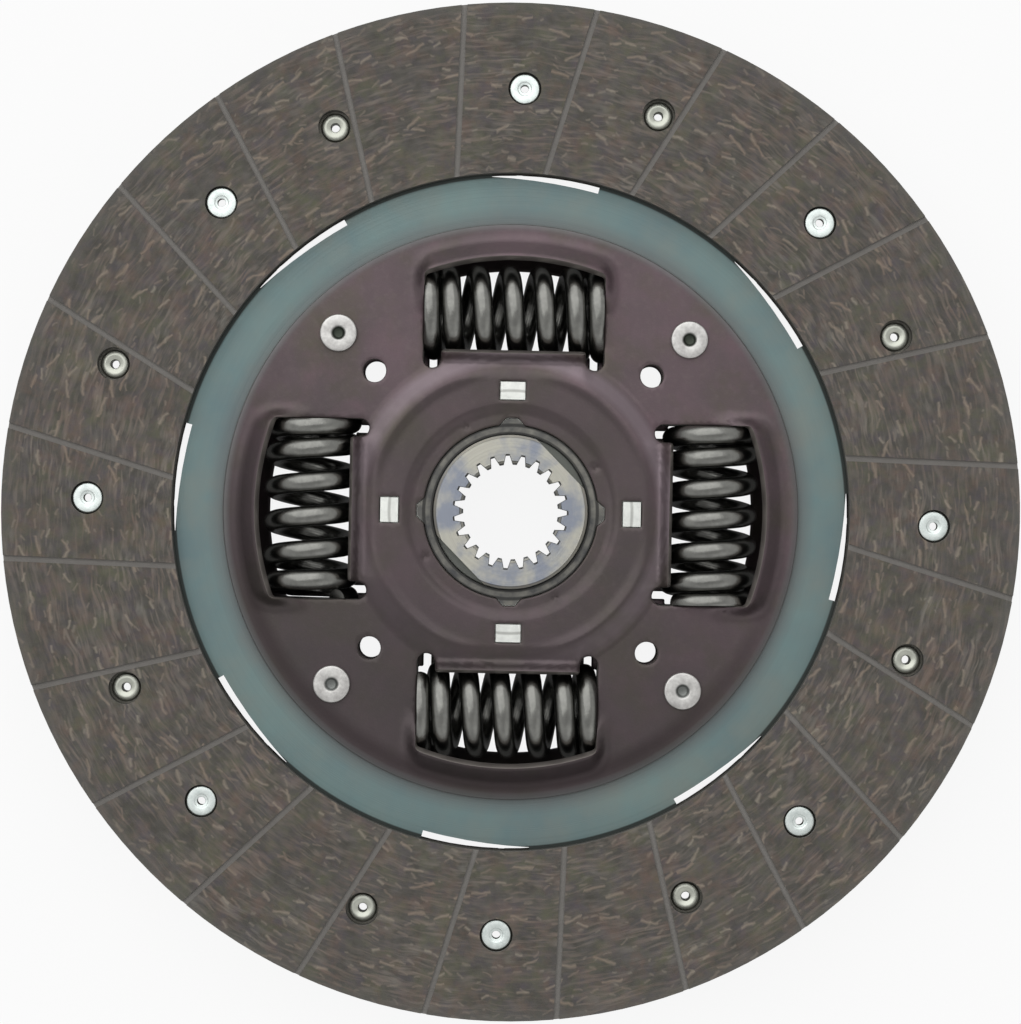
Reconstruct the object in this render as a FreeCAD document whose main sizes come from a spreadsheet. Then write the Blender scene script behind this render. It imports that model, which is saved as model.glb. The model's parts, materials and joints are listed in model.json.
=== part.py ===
import FreeCAD, Part
import math
import os
import Sketcher

# Clutch disc: a friction disc with a torsional damper, lying flat, in millimetres.
# The axis is +Z. The origin is the centre of the hub's rear end, on which the disc rests.
# The four damper springs lie on the X and Y axes, the stop pins between them.

# Driving sizes: name and value. Radii are from the disc's axis unless the name says otherwise.
DRIVING = [
    ("facing_width", 37.5),
    ("facing_clearance", 11.3),
    ("facing_thickness", 3.5),
    ("facing_gap", 1.4),
    ("groove_count", 24),
    ("groove_width", 1.3),
    ("groove_depth", 0.6),
    ("groove_offset", 15.3),
    ("groove_angle", -1.5),
    ("rivet_count", 8),
    ("rivet_circle_inset", 0.15),
    ("front_rivet_angle", 44.2),
    ("rear_rivet_angle", 25.65),
    ("rivet_land", 1.2),
    ("rivet_head_radius", 3.4),
    ("rivet_head_height", 1.0),
    ("rivet_seat_clearance", 0.25),
    ("rivet_shank_radius", 2.0),
    ("rivet_fit", 0.05),
    ("rivet_bore_radius", 0.9),
    ("rivet_clench_radius", 2.9),
    ("rivet_clench_height", 0.9),
    ("rivet_flare_radius", 1.7),
    ("cushion_thickness", 1.0),
    ("cushion_wave", 0.2),
    ("cushion_edge_margin", 1.0),
    ("cushion_slot_width", 2.0),
    ("cushion_ear_radius", 8.5),
    ("relief_show", 1.8),
    ("relief_depth", 5.6),
    ("relief_angle", 18.5),
    ("relief_turn", 5.1),
    ("relief_bow", 36.0),
    ("wave_start", 7.0),
    ("wave_run", 4.0),
    ("wave_half_width", 6.0),
    ("pack_offset", 4.5),
    ("hub_rear_length", 12.3),
    ("hub_front_length", 7.0),
    ("hub_wall", 4.2),
    ("hub_chamfer", 0.6),
    ("boss_flat_cut", 1.75),
    ("boss_flat_depth", 4.0),
    ("boss_flat_angle", 45.0),
    ("spline_count", 23),
    ("spline_depth", 2.05),
    ("spline_root_radius", 12.8),
    ("spline_mouth_width", 2.0),
    ("spline_floor_width", 0.9),
    ("flange_thickness", 6.4),
    ("flange_overreach", 1.0),
    ("damper_count", 4),
    ("twist_range", 8.0),
    ("stop_clearance", 0.2),
    ("spring_outer_radius", 10.75),
    ("spring_wire_radius", 2.25),
    ("spring_turns", 6.55),
    ("spring_closed_turns", 1.2),
    ("spring_closed_gap", 0.1),
    ("spring_first_crossing", 0.27),
    ("spring_side_clearance", 0.5),
    ("spring_end_clearance", 0.15),
    ("window_length", 40.0),
    ("window_inner_overlap", 1.85),
    ("window_outer_gap", 1.45),
    ("cover_spring_gap", 1.1),
    ("flange_spring_gap", 1.8),
    ("window_dish_overlap", 1.0),
    ("window_ear_width", 4.0),
    ("window_ear_depth", 3.8),
    ("cover_thickness", 2.0),
    ("front_cover_rim", 3.3),
    ("front_lip_width", 3.9),
    ("front_lip_rise", 3.6),
    ("inner_lip_width", 2.9),
    ("inner_lip_rise", 3.6),
    ("rear_cover_rim", 1.5),
    ("rear_lip_width", 6.5),
    ("rear_lip_rise", 5.3),
    ("rear_lip_overhang", 2.1),
    ("dish_slope", 3.3),
    ("crest_width", 1.1),
    ("crest_slope", 2.2),
    ("crest_height", 2.8),
    ("plateau_width", 6.0),
    ("plateau_height", 2.1),
    ("collar_slope", 1.7),
    ("collar_width", 2.8),
    ("collar_height", 1.3),
    ("tab_width", 5.4),
    ("tab_depth", 3.9),
    ("tab_clearance", 0.2),
    ("tab_recess", 0.2),
    ("guide_pin_distance", 11.5),
    ("guide_hole_radius", 2.55),
    ("guide_flange_radius", 3.2),
    ("nick_inset", 2.0),
    ("nick_radius", 0.7),
    ("nick_depth", 0.5),
    ("nick_angle", 28.7),
    ("pin_edge_distance", 8.8),
    ("pin_body_radius", 4.5),
    ("pin_shank_radius", 3.0),
    ("pin_head_radius", 4.15),
    ("pin_head_height", 1.4),
    ("pin_head_chamfer", 0.4),
    ("pin_dimple_radius", 1.45),
    ("pin_dimple_depth", 0.8),
    ("pin_fit", 0.05),
    ("washer_margin", 0.6),
    ("front_washer_thickness", 1.2),
    ("rear_washer_thickness", 1.8),
    ("thrust_plate_thickness", 1.2),
    ("thrust_plate_margin", 0.5),
    ("cone_thickness", 0.8),
    ("cone_width", 3.3),
    ("cone_rim_gap", 0.3),
    ("bush_clearance", 0.3),
    ("bush_wall", 1.8),
    ("bush_fit", 0.2),
    ("bush_lug_reach", 1.5),
    ("bush_lug_tip", 2.2),
    ("bush_lug_root", 8.3),
    ("bush_recess", 0.3),
    ("bore_gap", 0.3),
]

# Sizes that follow from the driving ones, as the formulas of the sheet.
DERIVED = [
    ("spline_tip_radius", "=spline_root_radius - spline_depth"),
    ("hub_barrel_radius", "=spline_root_radius + hub_wall"),
    ("boss_flat_distance", "=hub_barrel_radius - boss_flat_cut"),
    ("bush_inner_radius", "=hub_barrel_radius + bush_clearance"),
    ("bush_outer_radius", "=bush_inner_radius + bush_wall"),
    ("cover_bore_radius", "=bush_outer_radius + bush_fit"),
    ("nick_circle_radius", "=cover_bore_radius + nick_inset"),
    ("collar_outer_radius", "=cover_bore_radius + collar_width"),
    ("plateau_inner_radius", "=collar_outer_radius + collar_slope"),
    ("plateau_outer_radius", "=plateau_inner_radius + plateau_width"),
    ("tab_circle_radius", "=(plateau_inner_radius + plateau_outer_radius) / 2"),
    ("crest_inner_radius", "=plateau_outer_radius + crest_slope"),
    ("crest_outer_radius", "=crest_inner_radius + crest_width"),
    ("dish_outer_radius", "=crest_outer_radius + dish_slope"),
    ("front_window_inner", "=dish_outer_radius - window_dish_overlap"),
    ("spring_circle_radius", "=front_window_inner - window_inner_overlap + spring_outer_radius"),
    ("front_window_outer", "=spring_circle_radius + spring_outer_radius + window_outer_gap"),
    ("front_lip_root", "=front_window_outer + front_lip_width"),
    ("front_cover_radius", "=front_lip_root + front_cover_rim"),
    ("pin_circle_radius", "=front_cover_radius - pin_edge_distance"),
    ("guide_circle_radius", "=pin_circle_radius - guide_pin_distance"),
    ("facing_inner_radius", "=front_cover_radius + facing_clearance"),
    ("facing_outer_radius", "=facing_inner_radius + facing_width"),
    ("relief_inner_radius", "=facing_inner_radius - relief_show"),
    ("rivet_circle_radius", "=facing_inner_radius + facing_width / 2 - rivet_circle_inset"),
    ("washer_outer_radius", "=front_window_inner - window_ear_depth - washer_margin"),
    ("facing_back_level", "=facing_gap / 2"),
    ("facing_face_level", "=facing_gap / 2 + facing_thickness"),
    ("groove_low", "=groove_offset - groove_width / 2"),
    ("groove_high", "=groove_offset + groove_width / 2"),
    ("groove_start", "=facing_inner_radius * 0.9"),
    ("groove_end", "=facing_outer_radius * 1.02"),
    ("rivet_seat_radius", "=rivet_head_radius + rivet_seat_clearance"),
    ("rivet_hole_radius", "=rivet_shank_radius + rivet_fit"),
    ("rivet_seat_depth", "=facing_thickness - rivet_land"),
    ("front_rivet_x", "=rivet_circle_radius * cos(front_rivet_angle)"),
    ("front_rivet_y", "=rivet_circle_radius * sin(front_rivet_angle)"),
    ("rear_rivet_x", "=rivet_circle_radius * cos(rear_rivet_angle)"),
    ("rear_rivet_y", "=rivet_circle_radius * sin(rear_rivet_angle)"),
    ("flip_angle", "=(front_rivet_angle + rear_rivet_angle) / 2"),
    ("hub_length", "=hub_rear_length + flange_thickness + hub_front_length"),
    ("hub_chamfer_front", "=hub_length - hub_chamfer"),
    ("hub_chamfer_outer", "=hub_barrel_radius - hub_chamfer"),
    ("hub_chamfer_inner", "=spline_tip_radius + hub_chamfer"),
    ("flange_front_level", "=hub_rear_length + flange_thickness"),
    ("flange_mid_level", "=hub_rear_length + flange_thickness / 2"),
    ("flange_window_inner", "=spring_circle_radius - spring_outer_radius - flange_spring_gap"),
    ("window_half", "=window_length / 2"),
    ("spring_corner_radius", "=sqrt((spring_circle_radius + spring_outer_radius)^2 + window_half^2)"),
    ("flange_outer_radius", "=spring_corner_radius + flange_overreach"),
    ("pack_level", "=flange_mid_level + pack_offset"),
    ("cushion_rear_level", "=pack_level - cushion_thickness / 2"),
    ("front_cover_back", "=pack_level + cushion_thickness / 2"),
    ("front_cover_face", "=front_cover_back + cover_thickness"),
    ("rear_cover_back", "=hub_rear_length - rear_washer_thickness"),
    ("rear_cover_face", "=rear_cover_back - cover_thickness"),
    ("cushion_inner_radius", "=spring_corner_radius + spring_side_clearance"),
    ("front_spring_depth", "=front_cover_back - flange_mid_level"),
    ("front_spring_half", "=sqrt(spring_outer_radius^2 - front_spring_depth^2)"),
    ("front_sheet_window", "=spring_circle_radius - front_spring_half - cover_spring_gap"),
    ("rear_spring_depth", "=flange_mid_level - rear_cover_back"),
    ("rear_spring_half", "=sqrt(spring_outer_radius^2 - rear_spring_depth^2)"),
    ("rear_sheet_window", "=spring_circle_radius - rear_spring_half - cover_spring_gap"),
    ("front_lip_back", "=front_cover_back + front_lip_rise"),
    ("front_lip_face", "=front_cover_face + front_lip_rise"),
    ("inner_lip_start", "=front_window_inner - inner_lip_width"),
    ("rear_window_outer", "=front_window_outer - rear_lip_overhang"),
    ("rear_lip_root", "=rear_window_outer + rear_lip_width"),
    ("rear_cover_radius", "=rear_lip_root + rear_cover_rim"),
    ("rear_lip_back", "=rear_cover_back - rear_lip_rise"),
    ("rear_lip_face", "=rear_cover_face - rear_lip_rise"),
    ("washer_inner_radius", "=cover_bore_radius + bore_gap"),
    ("crest_back", "=front_cover_back + crest_height"),
    ("crest_face", "=front_cover_face + crest_height"),
    ("plateau_back", "=front_cover_back + plateau_height"),
    ("plateau_face", "=front_cover_face + plateau_height"),
    ("collar_back", "=front_cover_back + collar_height"),
    ("collar_face", "=front_cover_face + collar_height"),
    ("thrust_plate_level", "=flange_front_level + front_washer_thickness"),
    ("thrust_plate_face", "=thrust_plate_level + thrust_plate_thickness"),
    ("thrust_plate_radius", "=washer_outer_radius + thrust_plate_margin"),
    ("tab_face", "=plateau_face - tab_recess"),
    ("cone_outer_radius", "=inner_lip_start - cone_rim_gap"),
    ("cone_inner_radius", "=cone_outer_radius - cone_width"),
    ("cone_inner_face", "=thrust_plate_face + cone_thickness"),
    ("cone_outer_back", "=crest_back - cone_thickness"),
    ("bush_face", "=collar_face - bush_recess"),
    ("bush_lug_level", "=collar_back"),
    ("bush_lug_outer", "=bush_outer_radius + bush_lug_reach"),
    ("bush_lug_height", "=bush_face - bush_lug_level"),
    ("bush_lug_tip_half", "=bush_lug_tip / 2"),
    ("bush_lug_root_half", "=bush_lug_root / 2"),
    ("bush_lug_start", "=bush_outer_radius * 0.93"),
    ("notch_outer", "=bush_lug_outer + bush_fit"),
    ("notch_tip_half", "=bush_lug_tip / 2 + bush_fit"),
    ("notch_root_half", "=bush_lug_root / 2 + bush_fit"),
    ("pin_hole_radius", "=pin_shank_radius + pin_fit"),
    ("pin_front_head", "=front_cover_face + pin_head_height"),
    ("pin_rear_head", "=rear_cover_face - pin_head_height"),
    ("pin_head_flat", "=pin_head_radius - pin_head_chamfer"),
    ("pin_front_edge", "=pin_front_head - pin_head_chamfer"),
    ("pin_rear_edge", "=pin_rear_head + pin_head_chamfer"),
    ("pin_dimple_floor", "=pin_front_head - pin_dimple_depth"),
    ("stop_notch_radius", "=pin_circle_radius - pin_body_radius - spring_side_clearance"),
    ("stop_half_angle", "=asin((pin_body_radius + stop_clearance) / pin_circle_radius) / 1 deg"),
    ("stop_notch_angle", "=twist_range + stop_half_angle"),
    ("spring_length", "=window_length - 2 * spring_end_clearance"),
    ("spline_mouth_half", "=spline_mouth_width / 2"),
    ("spline_floor_half", "=spline_floor_width / 2"),
    ("spline_mouth_start", "=spline_tip_radius * 0.9"),
    ("paddle_radius", "=facing_outer_radius - cushion_edge_margin"),
    ("relief_outer_radius", "=relief_inner_radius + relief_depth"),
]


def make_sheet(doc):
    """The sheet of sizes: a name and a value in each row, with the name as the value's alias."""
    sheet = doc.addObject("Spreadsheet::Sheet", "Sizes")
    for row, (name, value) in enumerate(DRIVING + DERIVED, 1):
        sheet.set(f"A{row}", name)
        sheet.set(f"B{row}", str(value))
        sheet.setAlias(f"B{row}", name)
    doc.recompute()
    return sheet


doc = FreeCAD.newDocument("ClutchDisc")
sheet = make_sheet(doc)
Z_AXIS = FreeCAD.Vector(0, 0, 1)


def size(name):
    """The number in a cell of the sheet."""
    return float(sheet.get(name))


def number(term):
    """The value of a term: a cell's name, with an optional minus sign."""
    return -size(term[1:]) if term.startswith("-") else size(term)


def formula(term):
    """The same term as an expression that binds a property to the sheet."""
    return "-Sizes." + term[1:] if term.startswith("-") else "Sizes." + term


# Sketches and features of a body

def new_body(label):
    body = doc.addObject("PartDesign::Body", label)
    body.Label = label
    return body


def new_sketch(body, name, role, level=None, turn=None):
    """A sketch on one of the body's own origin planes, moved along and turned about its normal."""
    plane = next(feature for feature in body.Origin.OriginFeatures if feature.Role == role)
    sketch = body.newObject("Sketcher::SketchObject", name)
    sketch.AttachmentSupport = [(plane, "")]
    sketch.MapMode = "FlatFace"
    if level:
        sketch.setExpression("AttachmentOffset.Base.z", formula(level))
    if turn:
        sketch.setExpression("AttachmentOffset.Rotation.Angle", formula(turn))
    return sketch


def bind(sketch, constraint, term):
    """Adds a constraint whose value is a cell of the sheet."""
    index = sketch.addConstraint(constraint)
    sketch.setExpression(f"Constraints[{index}]", formula(term))


def draw_circle(sketch, radius, x=None, y=None):
    """A circle about the origin, or about a point given by two cells."""
    centre = FreeCAD.Vector(number(x) if x else 0, number(y) if y else 0, 0)
    circle = sketch.addGeometry(Part.Circle(centre, Z_AXIS, number(radius)))
    bind(sketch, Sketcher.Constraint("Radius", circle, number(radius)), radius)
    if x is None:
        sketch.addConstraint(Sketcher.Constraint("Coincident", circle, 3, -1, 1))
    else:
        bind(sketch, Sketcher.Constraint("DistanceX", -1, 1, circle, 3, number(x)), x)
        bind(sketch, Sketcher.Constraint("DistanceY", -1, 1, circle, 3, number(y)), y)


def draw_polygon(sketch, corners):
    """A closed outline of straight lines. Each corner is two terms; None stands for zero."""
    points = [FreeCAD.Vector(number(x) if x else 0, number(y) if y else 0, 0) for x, y in corners]
    lines = []
    for start, end in zip(points, points[1:] + points[:1]):
        lines.append(sketch.addGeometry(Part.LineSegment(start, end)))
    for line, following in zip(lines, lines[1:] + lines[:1]):
        sketch.addConstraint(Sketcher.Constraint("Coincident", line, 2, following, 1))
    for line, (x, y) in zip(lines, corners):
        if x:
            bind(sketch, Sketcher.Constraint("DistanceX", -1, 1, line, 1, number(x)), x)
        else:
            sketch.addConstraint(Sketcher.Constraint("PointOnObject", line, 1, -2))
        if y:
            bind(sketch, Sketcher.Constraint("DistanceY", -1, 1, line, 1, number(y)), y)
        else:
            sketch.addConstraint(Sketcher.Constraint("PointOnObject", line, 1, -1))


def pad(body, sketch, length):
    feature = body.newObject("PartDesign::Pad", sketch.Name + "_pad")
    feature.Profile = sketch
    feature.setExpression("Length", formula(length))
    sketch.Visibility = False
    return feature


def pocket(body, sketch, depth=None):
    """A cut from the sketch towards -Z: to a depth, or through everything."""
    feature = body.newObject("PartDesign::Pocket", sketch.Name + "_pocket")
    feature.Profile = sketch
    feature.Reversed = False
    if depth:
        feature.Type = "Length"
        feature.setExpression("Length", formula(depth))
    else:
        feature.Type = "ThroughAll"
    return feature


def revolve(body, sketch):
    """A turned solid: a profile in the XZ plane, revolved about Z."""
    feature = body.newObject("PartDesign::Revolution", sketch.Name + "_turned")
    feature.Profile = sketch
    feature.ReferenceAxis = (sketch, ["V_Axis"])
    feature.Angle = 360.0
    return feature


def repeat_round(body, features, sketch, count):
    """The features, repeated round the Z axis."""
    pattern = body.newObject("PartDesign::PolarPattern", features[0].Name + "_round")
    pattern.Originals = features
    pattern.Axis = (sketch, ["N_Axis"])
    pattern.Angle = 360.0
    pattern.setExpression("Occurrences", formula(count))
    body.Tip = pattern
    return pattern


def ring_body(label, outer, inner, level, thickness):
    """A flat ring."""
    body = new_body(label)
    outline = new_sketch(body, label + "_ring", "XY_Plane", level)
    draw_circle(outline, outer)
    draw_circle(outline, inner)
    pad(body, outline, thickness)
    return body


def turned_body(label, corners):
    """A turned piece, from its profile's corners as (radius, height)."""
    body = new_body(label)
    profile = new_sketch(body, label + "_profile", "XZ_Plane")
    draw_polygon(profile, corners)
    revolve(body, profile)
    return body


# Primitives and booleans

def cylinder(name, radius, height, level, circle=None, angle="0"):
    """An upright cylinder, at a place given by its circle's radius and angle."""
    thing = doc.addObject("Part::Cylinder", name)
    thing.setExpression("Radius", formula(radius))
    thing.setExpression("Height", height)
    thing.setExpression("Placement.Base.z", level)
    if circle:
        thing.setExpression("Placement.Base.x", f"{formula(circle)} * cos({angle})")
        thing.setExpression("Placement.Base.y", f"{formula(circle)} * sin({angle})")
    return thing


def bar(name, start, end, width, low, high, angle):
    """A box that runs outwards along a radius, from start to end, turned to an angle."""
    thing = doc.addObject("Part::Box", name)
    thing.setExpression("Length", f"{end} - {start}")
    thing.setExpression("Width", width)
    thing.setExpression("Height", f"{high} - {low}")
    thing.setExpression("Placement.Rotation.Angle", angle)
    thing.setExpression("Placement.Base.x", f"{start} * cos({angle}) + {width} / 2 * sin({angle})")
    thing.setExpression("Placement.Base.y", f"{start} * sin({angle}) - {width} / 2 * cos({angle})")
    thing.setExpression("Placement.Base.z", low)
    return thing


def fuse(name, things):
    joined = doc.addObject("Part::MultiFuse", name)
    joined.Shapes = things
    return joined


def common(name, things):
    shared = doc.addObject("Part::MultiCommon", name)
    shared.Shapes = things
    return shared


def cut(name, base, tools):
    tool = tools[0] if len(tools) == 1 else fuse(name + "_tools", tools)
    result = doc.addObject("Part::Cut", name)
    result.Base = base
    result.Tool = tool
    return result


def damper_angles(shift=0.0):
    """The angles of what sits once at each damper spring, or between them with a shift."""
    count = int(size("damper_count"))
    return [f"({shift} + 360 / Sizes.damper_count * {k})" for k in range(count)]


BELOW = "(0 - Sizes.hub_length)"
ABOVE = "(2 * Sizes.hub_length)"
TALL = f"({ABOVE} - {BELOW})"


def through_hole(name, radius, circle, angle):
    return cylinder(name, radius, TALL, BELOW, circle, angle)


def round_the_damper(make, name, shift=0.0):
    """One tool at each damper angle: make(name, angle)."""
    return [make(f"{name}_{k}", angle) for k, angle in enumerate(damper_angles(shift), 1)]


# Friction facings

def facing(label):
    """A moulded ring. Its own rivets have seats, and the other facing's have clearance holes.

    Its height counts from the middle of the cushion plate.
    """
    body = ring_body(label, "facing_outer_radius", "facing_inner_radius", "facing_back_level",
                     "facing_thickness")
    groove = new_sketch(body, label + "_groove", "XY_Plane", "facing_face_level", "groove_angle")
    draw_polygon(groove, [
        ("groove_start", "groove_low"),
        ("groove_end", "groove_low"),
        ("groove_end", "groove_high"),
        ("groove_start", "groove_high"),
    ])
    groove_cut = pocket(body, groove, "groove_depth")
    repeat_round(body, [groove_cut], groove, "groove_count")
    seat = new_sketch(body, label + "_seat", "XY_Plane", "facing_face_level")
    draw_circle(seat, "rivet_seat_radius", "front_rivet_x", "front_rivet_y")
    seat_cut = pocket(body, seat, "rivet_seat_depth")
    repeat_round(body, [seat_cut], seat, "rivet_count")
    hole = new_sketch(body, label + "_hole", "XY_Plane", "facing_face_level")
    draw_circle(hole, "rivet_hole_radius", "front_rivet_x", "front_rivet_y")
    hole_cut = pocket(body, hole)
    repeat_round(body, [hole_cut], hole, "rivet_count")
    clear = new_sketch(body, label + "_clear", "XY_Plane", "facing_face_level")
    draw_circle(clear, "rivet_seat_radius", "rear_rivet_x", "rear_rivet_y")
    clear_cut = pocket(body, clear)
    repeat_round(body, [clear_cut], clear, "rivet_count")
    body.setExpression("Placement.Base.z", "Sizes.pack_level")
    return body


def turn_over(thing):
    """Turns a piece over about the line half way between a front and a rear rivet."""
    angle = math.radians(size("flip_angle"))
    axis = FreeCAD.Vector(math.cos(angle), math.sin(angle), 0)
    level = FreeCAD.Vector(0, 0, size("pack_level"))
    thing.Placement = FreeCAD.Placement(level, FreeCAD.Rotation(axis, 180))


def rivet_shape():
    """One tubular rivet, head up, its height counted from the middle of the cushion plate."""
    head_back = size("facing_back_level") + size("rivet_land")
    head_face = head_back + size("rivet_head_height")
    plate_rear = size("cushion_wave") - size("cushion_thickness") / 2
    clench = plate_rear - size("rivet_clench_height")
    corners = [
        (size("rivet_bore_radius"), head_face),
        (size("rivet_head_radius"), head_face),
        (size("rivet_head_radius"), head_back),
        (size("rivet_shank_radius"), head_back),
        (size("rivet_shank_radius"), plate_rear),
        (size("rivet_clench_radius"), plate_rear),
        (size("rivet_clench_radius"), clench + size("rivet_clench_height") / 2),
        (size("rivet_flare_radius"), clench),
        (size("rivet_bore_radius"), plate_rear),
    ]
    points = [FreeCAD.Vector(radius, 0, height) for radius, height in corners]
    face = Part.Face(Part.makePolygon(points + points[:1]))
    return face.revolve(FreeCAD.Vector(0, 0, 0), Z_AXIS, 360)


def facing_rivets(label):
    """The rivets of one facing, as separate solids of one group."""
    one = rivet_shape()
    count = int(size("rivet_count"))
    copies = []
    for k in range(count):
        angle = math.radians(size("front_rivet_angle") + 360.0 / count * k)
        radius = size("rivet_circle_radius")
        copy = one.copy()
        copy.translate(FreeCAD.Vector(radius * math.cos(angle), radius * math.sin(angle), 0))
        copies.append(copy)
    group = doc.addObject("Part::Feature", label)
    group.Shape = Part.makeCompound(copies)
    group.Placement = FreeCAD.Placement(FreeCAD.Vector(0, 0, size("pack_level")), FreeCAD.Rotation())
    return group


# Cushion plate: a flat ring with waved paddles between the facings

def prism(points, low, high):
    """A straight-sided outline, raised from one height to another."""
    corners = [FreeCAD.Vector(x, y, low) for x, y in points]
    face = Part.Face(Part.makePolygon(corners + corners[:1]))
    return face.extrude(FreeCAD.Vector(0, 0, high - low))


def sector(inner, outer, start, end, low, high):
    """A piece of a flat ring between two angles in degrees."""
    ring = Part.makeCylinder(outer, high - low, FreeCAD.Vector(0, 0, low), Z_AXIS, end - start)
    ring.rotate(FreeCAD.Vector(0, 0, 0), Z_AXIS, start)
    return ring.cut(Part.makeCylinder(inner, high - low, FreeCAD.Vector(0, 0, low)))


def folded_sheet(heights, xs, ys, thickness):
    """A sheet of flat facets. heights[j][i] is its middle height at xs[i], ys[j]."""
    def point(i, j, side):
        return FreeCAD.Vector(xs[i], ys[j], heights[j][i] + side * thickness / 2)

    faces = []

    def facet(*corners):
        faces.append(Part.Face(Part.makePolygon(list(corners) + [corners[0]])))

    for j in range(len(ys) - 1):
        for i in range(len(xs) - 1):
            for side in (-1, 1):
                a, b = point(i, j, side), point(i + 1, j, side)
                c, d = point(i + 1, j + 1, side), point(i, j + 1, side)
                twist = abs(a.z + c.z - b.z - d.z)
                if twist < 1e-9:
                    facet(a, b, c, d)
                else:
                    facet(a, b, c)
                    facet(a, c, d)
    last_x, last_y = len(xs) - 1, len(ys) - 1
    for i in range(last_x):
        for j in (0, last_y):
            facet(point(i, j, -1), point(i + 1, j, -1), point(i + 1, j, 1), point(i, j, 1))
    for j in range(last_y):
        for i in (0, last_x):
            facet(point(i, j, -1), point(i, j + 1, -1), point(i, j + 1, 1), point(i, j, 1))
    shell = Part.makeShell(faces)
    solid = Part.makeSolid(shell)
    if solid.Volume < 0:
        solid.reverse()
    return solid


def cushion_paddle():
    """One paddle's sheet, flat at its neck and waved between the rivets. It points along +Y.

    It is wider and longer than the paddle, which is cut out of it.
    """
    wave = size("cushion_wave")
    half = size("wave_half_width")
    side = size("paddle_radius") / 2
    fold = size("relief_inner_radius") + size("wave_start")
    xs = [-side, -half, 0.0, half, side]
    ys = [side, fold, fold + size("wave_run"), size("facing_outer_radius") + size("wave_run")]
    flat = [0.0] * len(xs)
    waved = [-wave, -wave, 0.0, wave, wave]
    return folded_sheet([flat, flat, waved, waved], xs, ys, size("cushion_thickness"))


def cushion_outline():
    """The plate's outline as a tall prism: ring, paddles and ears, with all its holes."""
    low, high = -size("facing_thickness"), size("facing_thickness")
    tall = high - low
    past = size("cushion_thickness")
    count = int(size("rivet_count"))
    floor = FreeCAD.Vector(0, 0, low)
    disc = Part.makeCylinder(size("paddle_radius"), tall, floor)
    disc = disc.cut(Part.makeCylinder(size("cushion_inner_radius"), tall, floor))
    ears = []
    holes = []
    dampers = int(size("damper_count"))
    for k in range(dampers):
        angle = 360.0 / dampers * (k + 0.5)
        pin = size("pin_circle_radius")
        ear = Part.makeCylinder(size("cushion_ear_radius"), tall, FreeCAD.Vector(pin, 0, low))
        width = size("cushion_ear_radius")
        reach = size("cushion_inner_radius") + past
        ear = ear.fuse(prism([(pin, -width), (reach, -width), (reach, width), (pin, width)], low, high))
        ear.rotate(FreeCAD.Vector(0, 0, 0), Z_AXIS, angle)
        ears.append(ear)
        hole = Part.makeCylinder(size("pin_hole_radius"), tall, FreeCAD.Vector(pin, 0, low))
        hole.rotate(FreeCAD.Vector(0, 0, 0), Z_AXIS, angle)
        holes.append(hole)
    for k in range(count):
        turn = 360.0 / count * k
        slot_angle = size("flip_angle") + turn
        middle = slot_angle + size("relief_turn")
        half = size("relief_angle") / 2
        relief = sector(size("relief_inner_radius"), size("relief_outer_radius"),
                        middle - half, middle + half, low, high)
        bow = Part.makeCylinder(size("relief_inner_radius") + size("relief_bow"), tall,
                                FreeCAD.Vector(-size("relief_bow"), 0, low))
        bow.rotate(FreeCAD.Vector(0, 0, 0), Z_AXIS, middle - half)
        holes.append(relief.cut(bow))
        width = size("cushion_slot_width") / 2
        start = (size("relief_inner_radius") + size("relief_outer_radius")) / 2
        end = size("paddle_radius") + past
        slot = prism([(start, -width), (end, -width), (end, width), (start, width)], low, high)
        slot.rotate(FreeCAD.Vector(0, 0, 0), Z_AXIS, slot_angle)
        holes.append(slot)
        for angle in (size("front_rivet_angle"), size("rear_rivet_angle")):
            radius = size("rivet_circle_radius")
            hole = Part.makeCylinder(size("rivet_hole_radius"), tall, FreeCAD.Vector(radius, 0, low))
            hole.rotate(FreeCAD.Vector(0, 0, 0), Z_AXIS, angle + turn)
            holes.append(hole)
    return disc.fuse(ears).cut(Part.makeCompound(holes))


def cushion_plate(label):
    count = int(size("rivet_count"))
    thickness = size("cushion_thickness")
    flat_radius = size("relief_inner_radius")
    sheet_parts = []
    for k in range(count):
        turn = size("flip_angle") + 360.0 / count * (k + 0.5) - 90.0
        reach = sector(flat_radius - thickness, size("facing_outer_radius"), 90.0 - 180.0 / count,
                       90.0 + 180.0 / count, -2 * thickness, 2 * thickness)
        paddle = cushion_paddle().common(reach)
        paddle.rotate(FreeCAD.Vector(0, 0, 0), Z_AXIS, turn)
        sheet_parts.append(paddle)
    middle = Part.makeCylinder(flat_radius, thickness, FreeCAD.Vector(0, 0, -thickness / 2))
    blank = middle.fuse(sheet_parts)
    plate = doc.addObject("Part::Feature", label)
    plate.Shape = blank.common(cushion_outline()).removeSplitter()
    plate.Placement = FreeCAD.Placement(FreeCAD.Vector(0, 0, size("pack_level")), FreeCAD.Rotation())
    return plate


# Cover plates

def window_bars(name, start, end):
    """The boxes that hold the spring windows, one on each damper angle."""
    def one(label, angle):
        return bar(label, formula(start), end, "Sizes.window_length", BELOW, ABOVE, angle)
    return fuse(name, round_the_damper(one, name + "_bar"))


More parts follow.
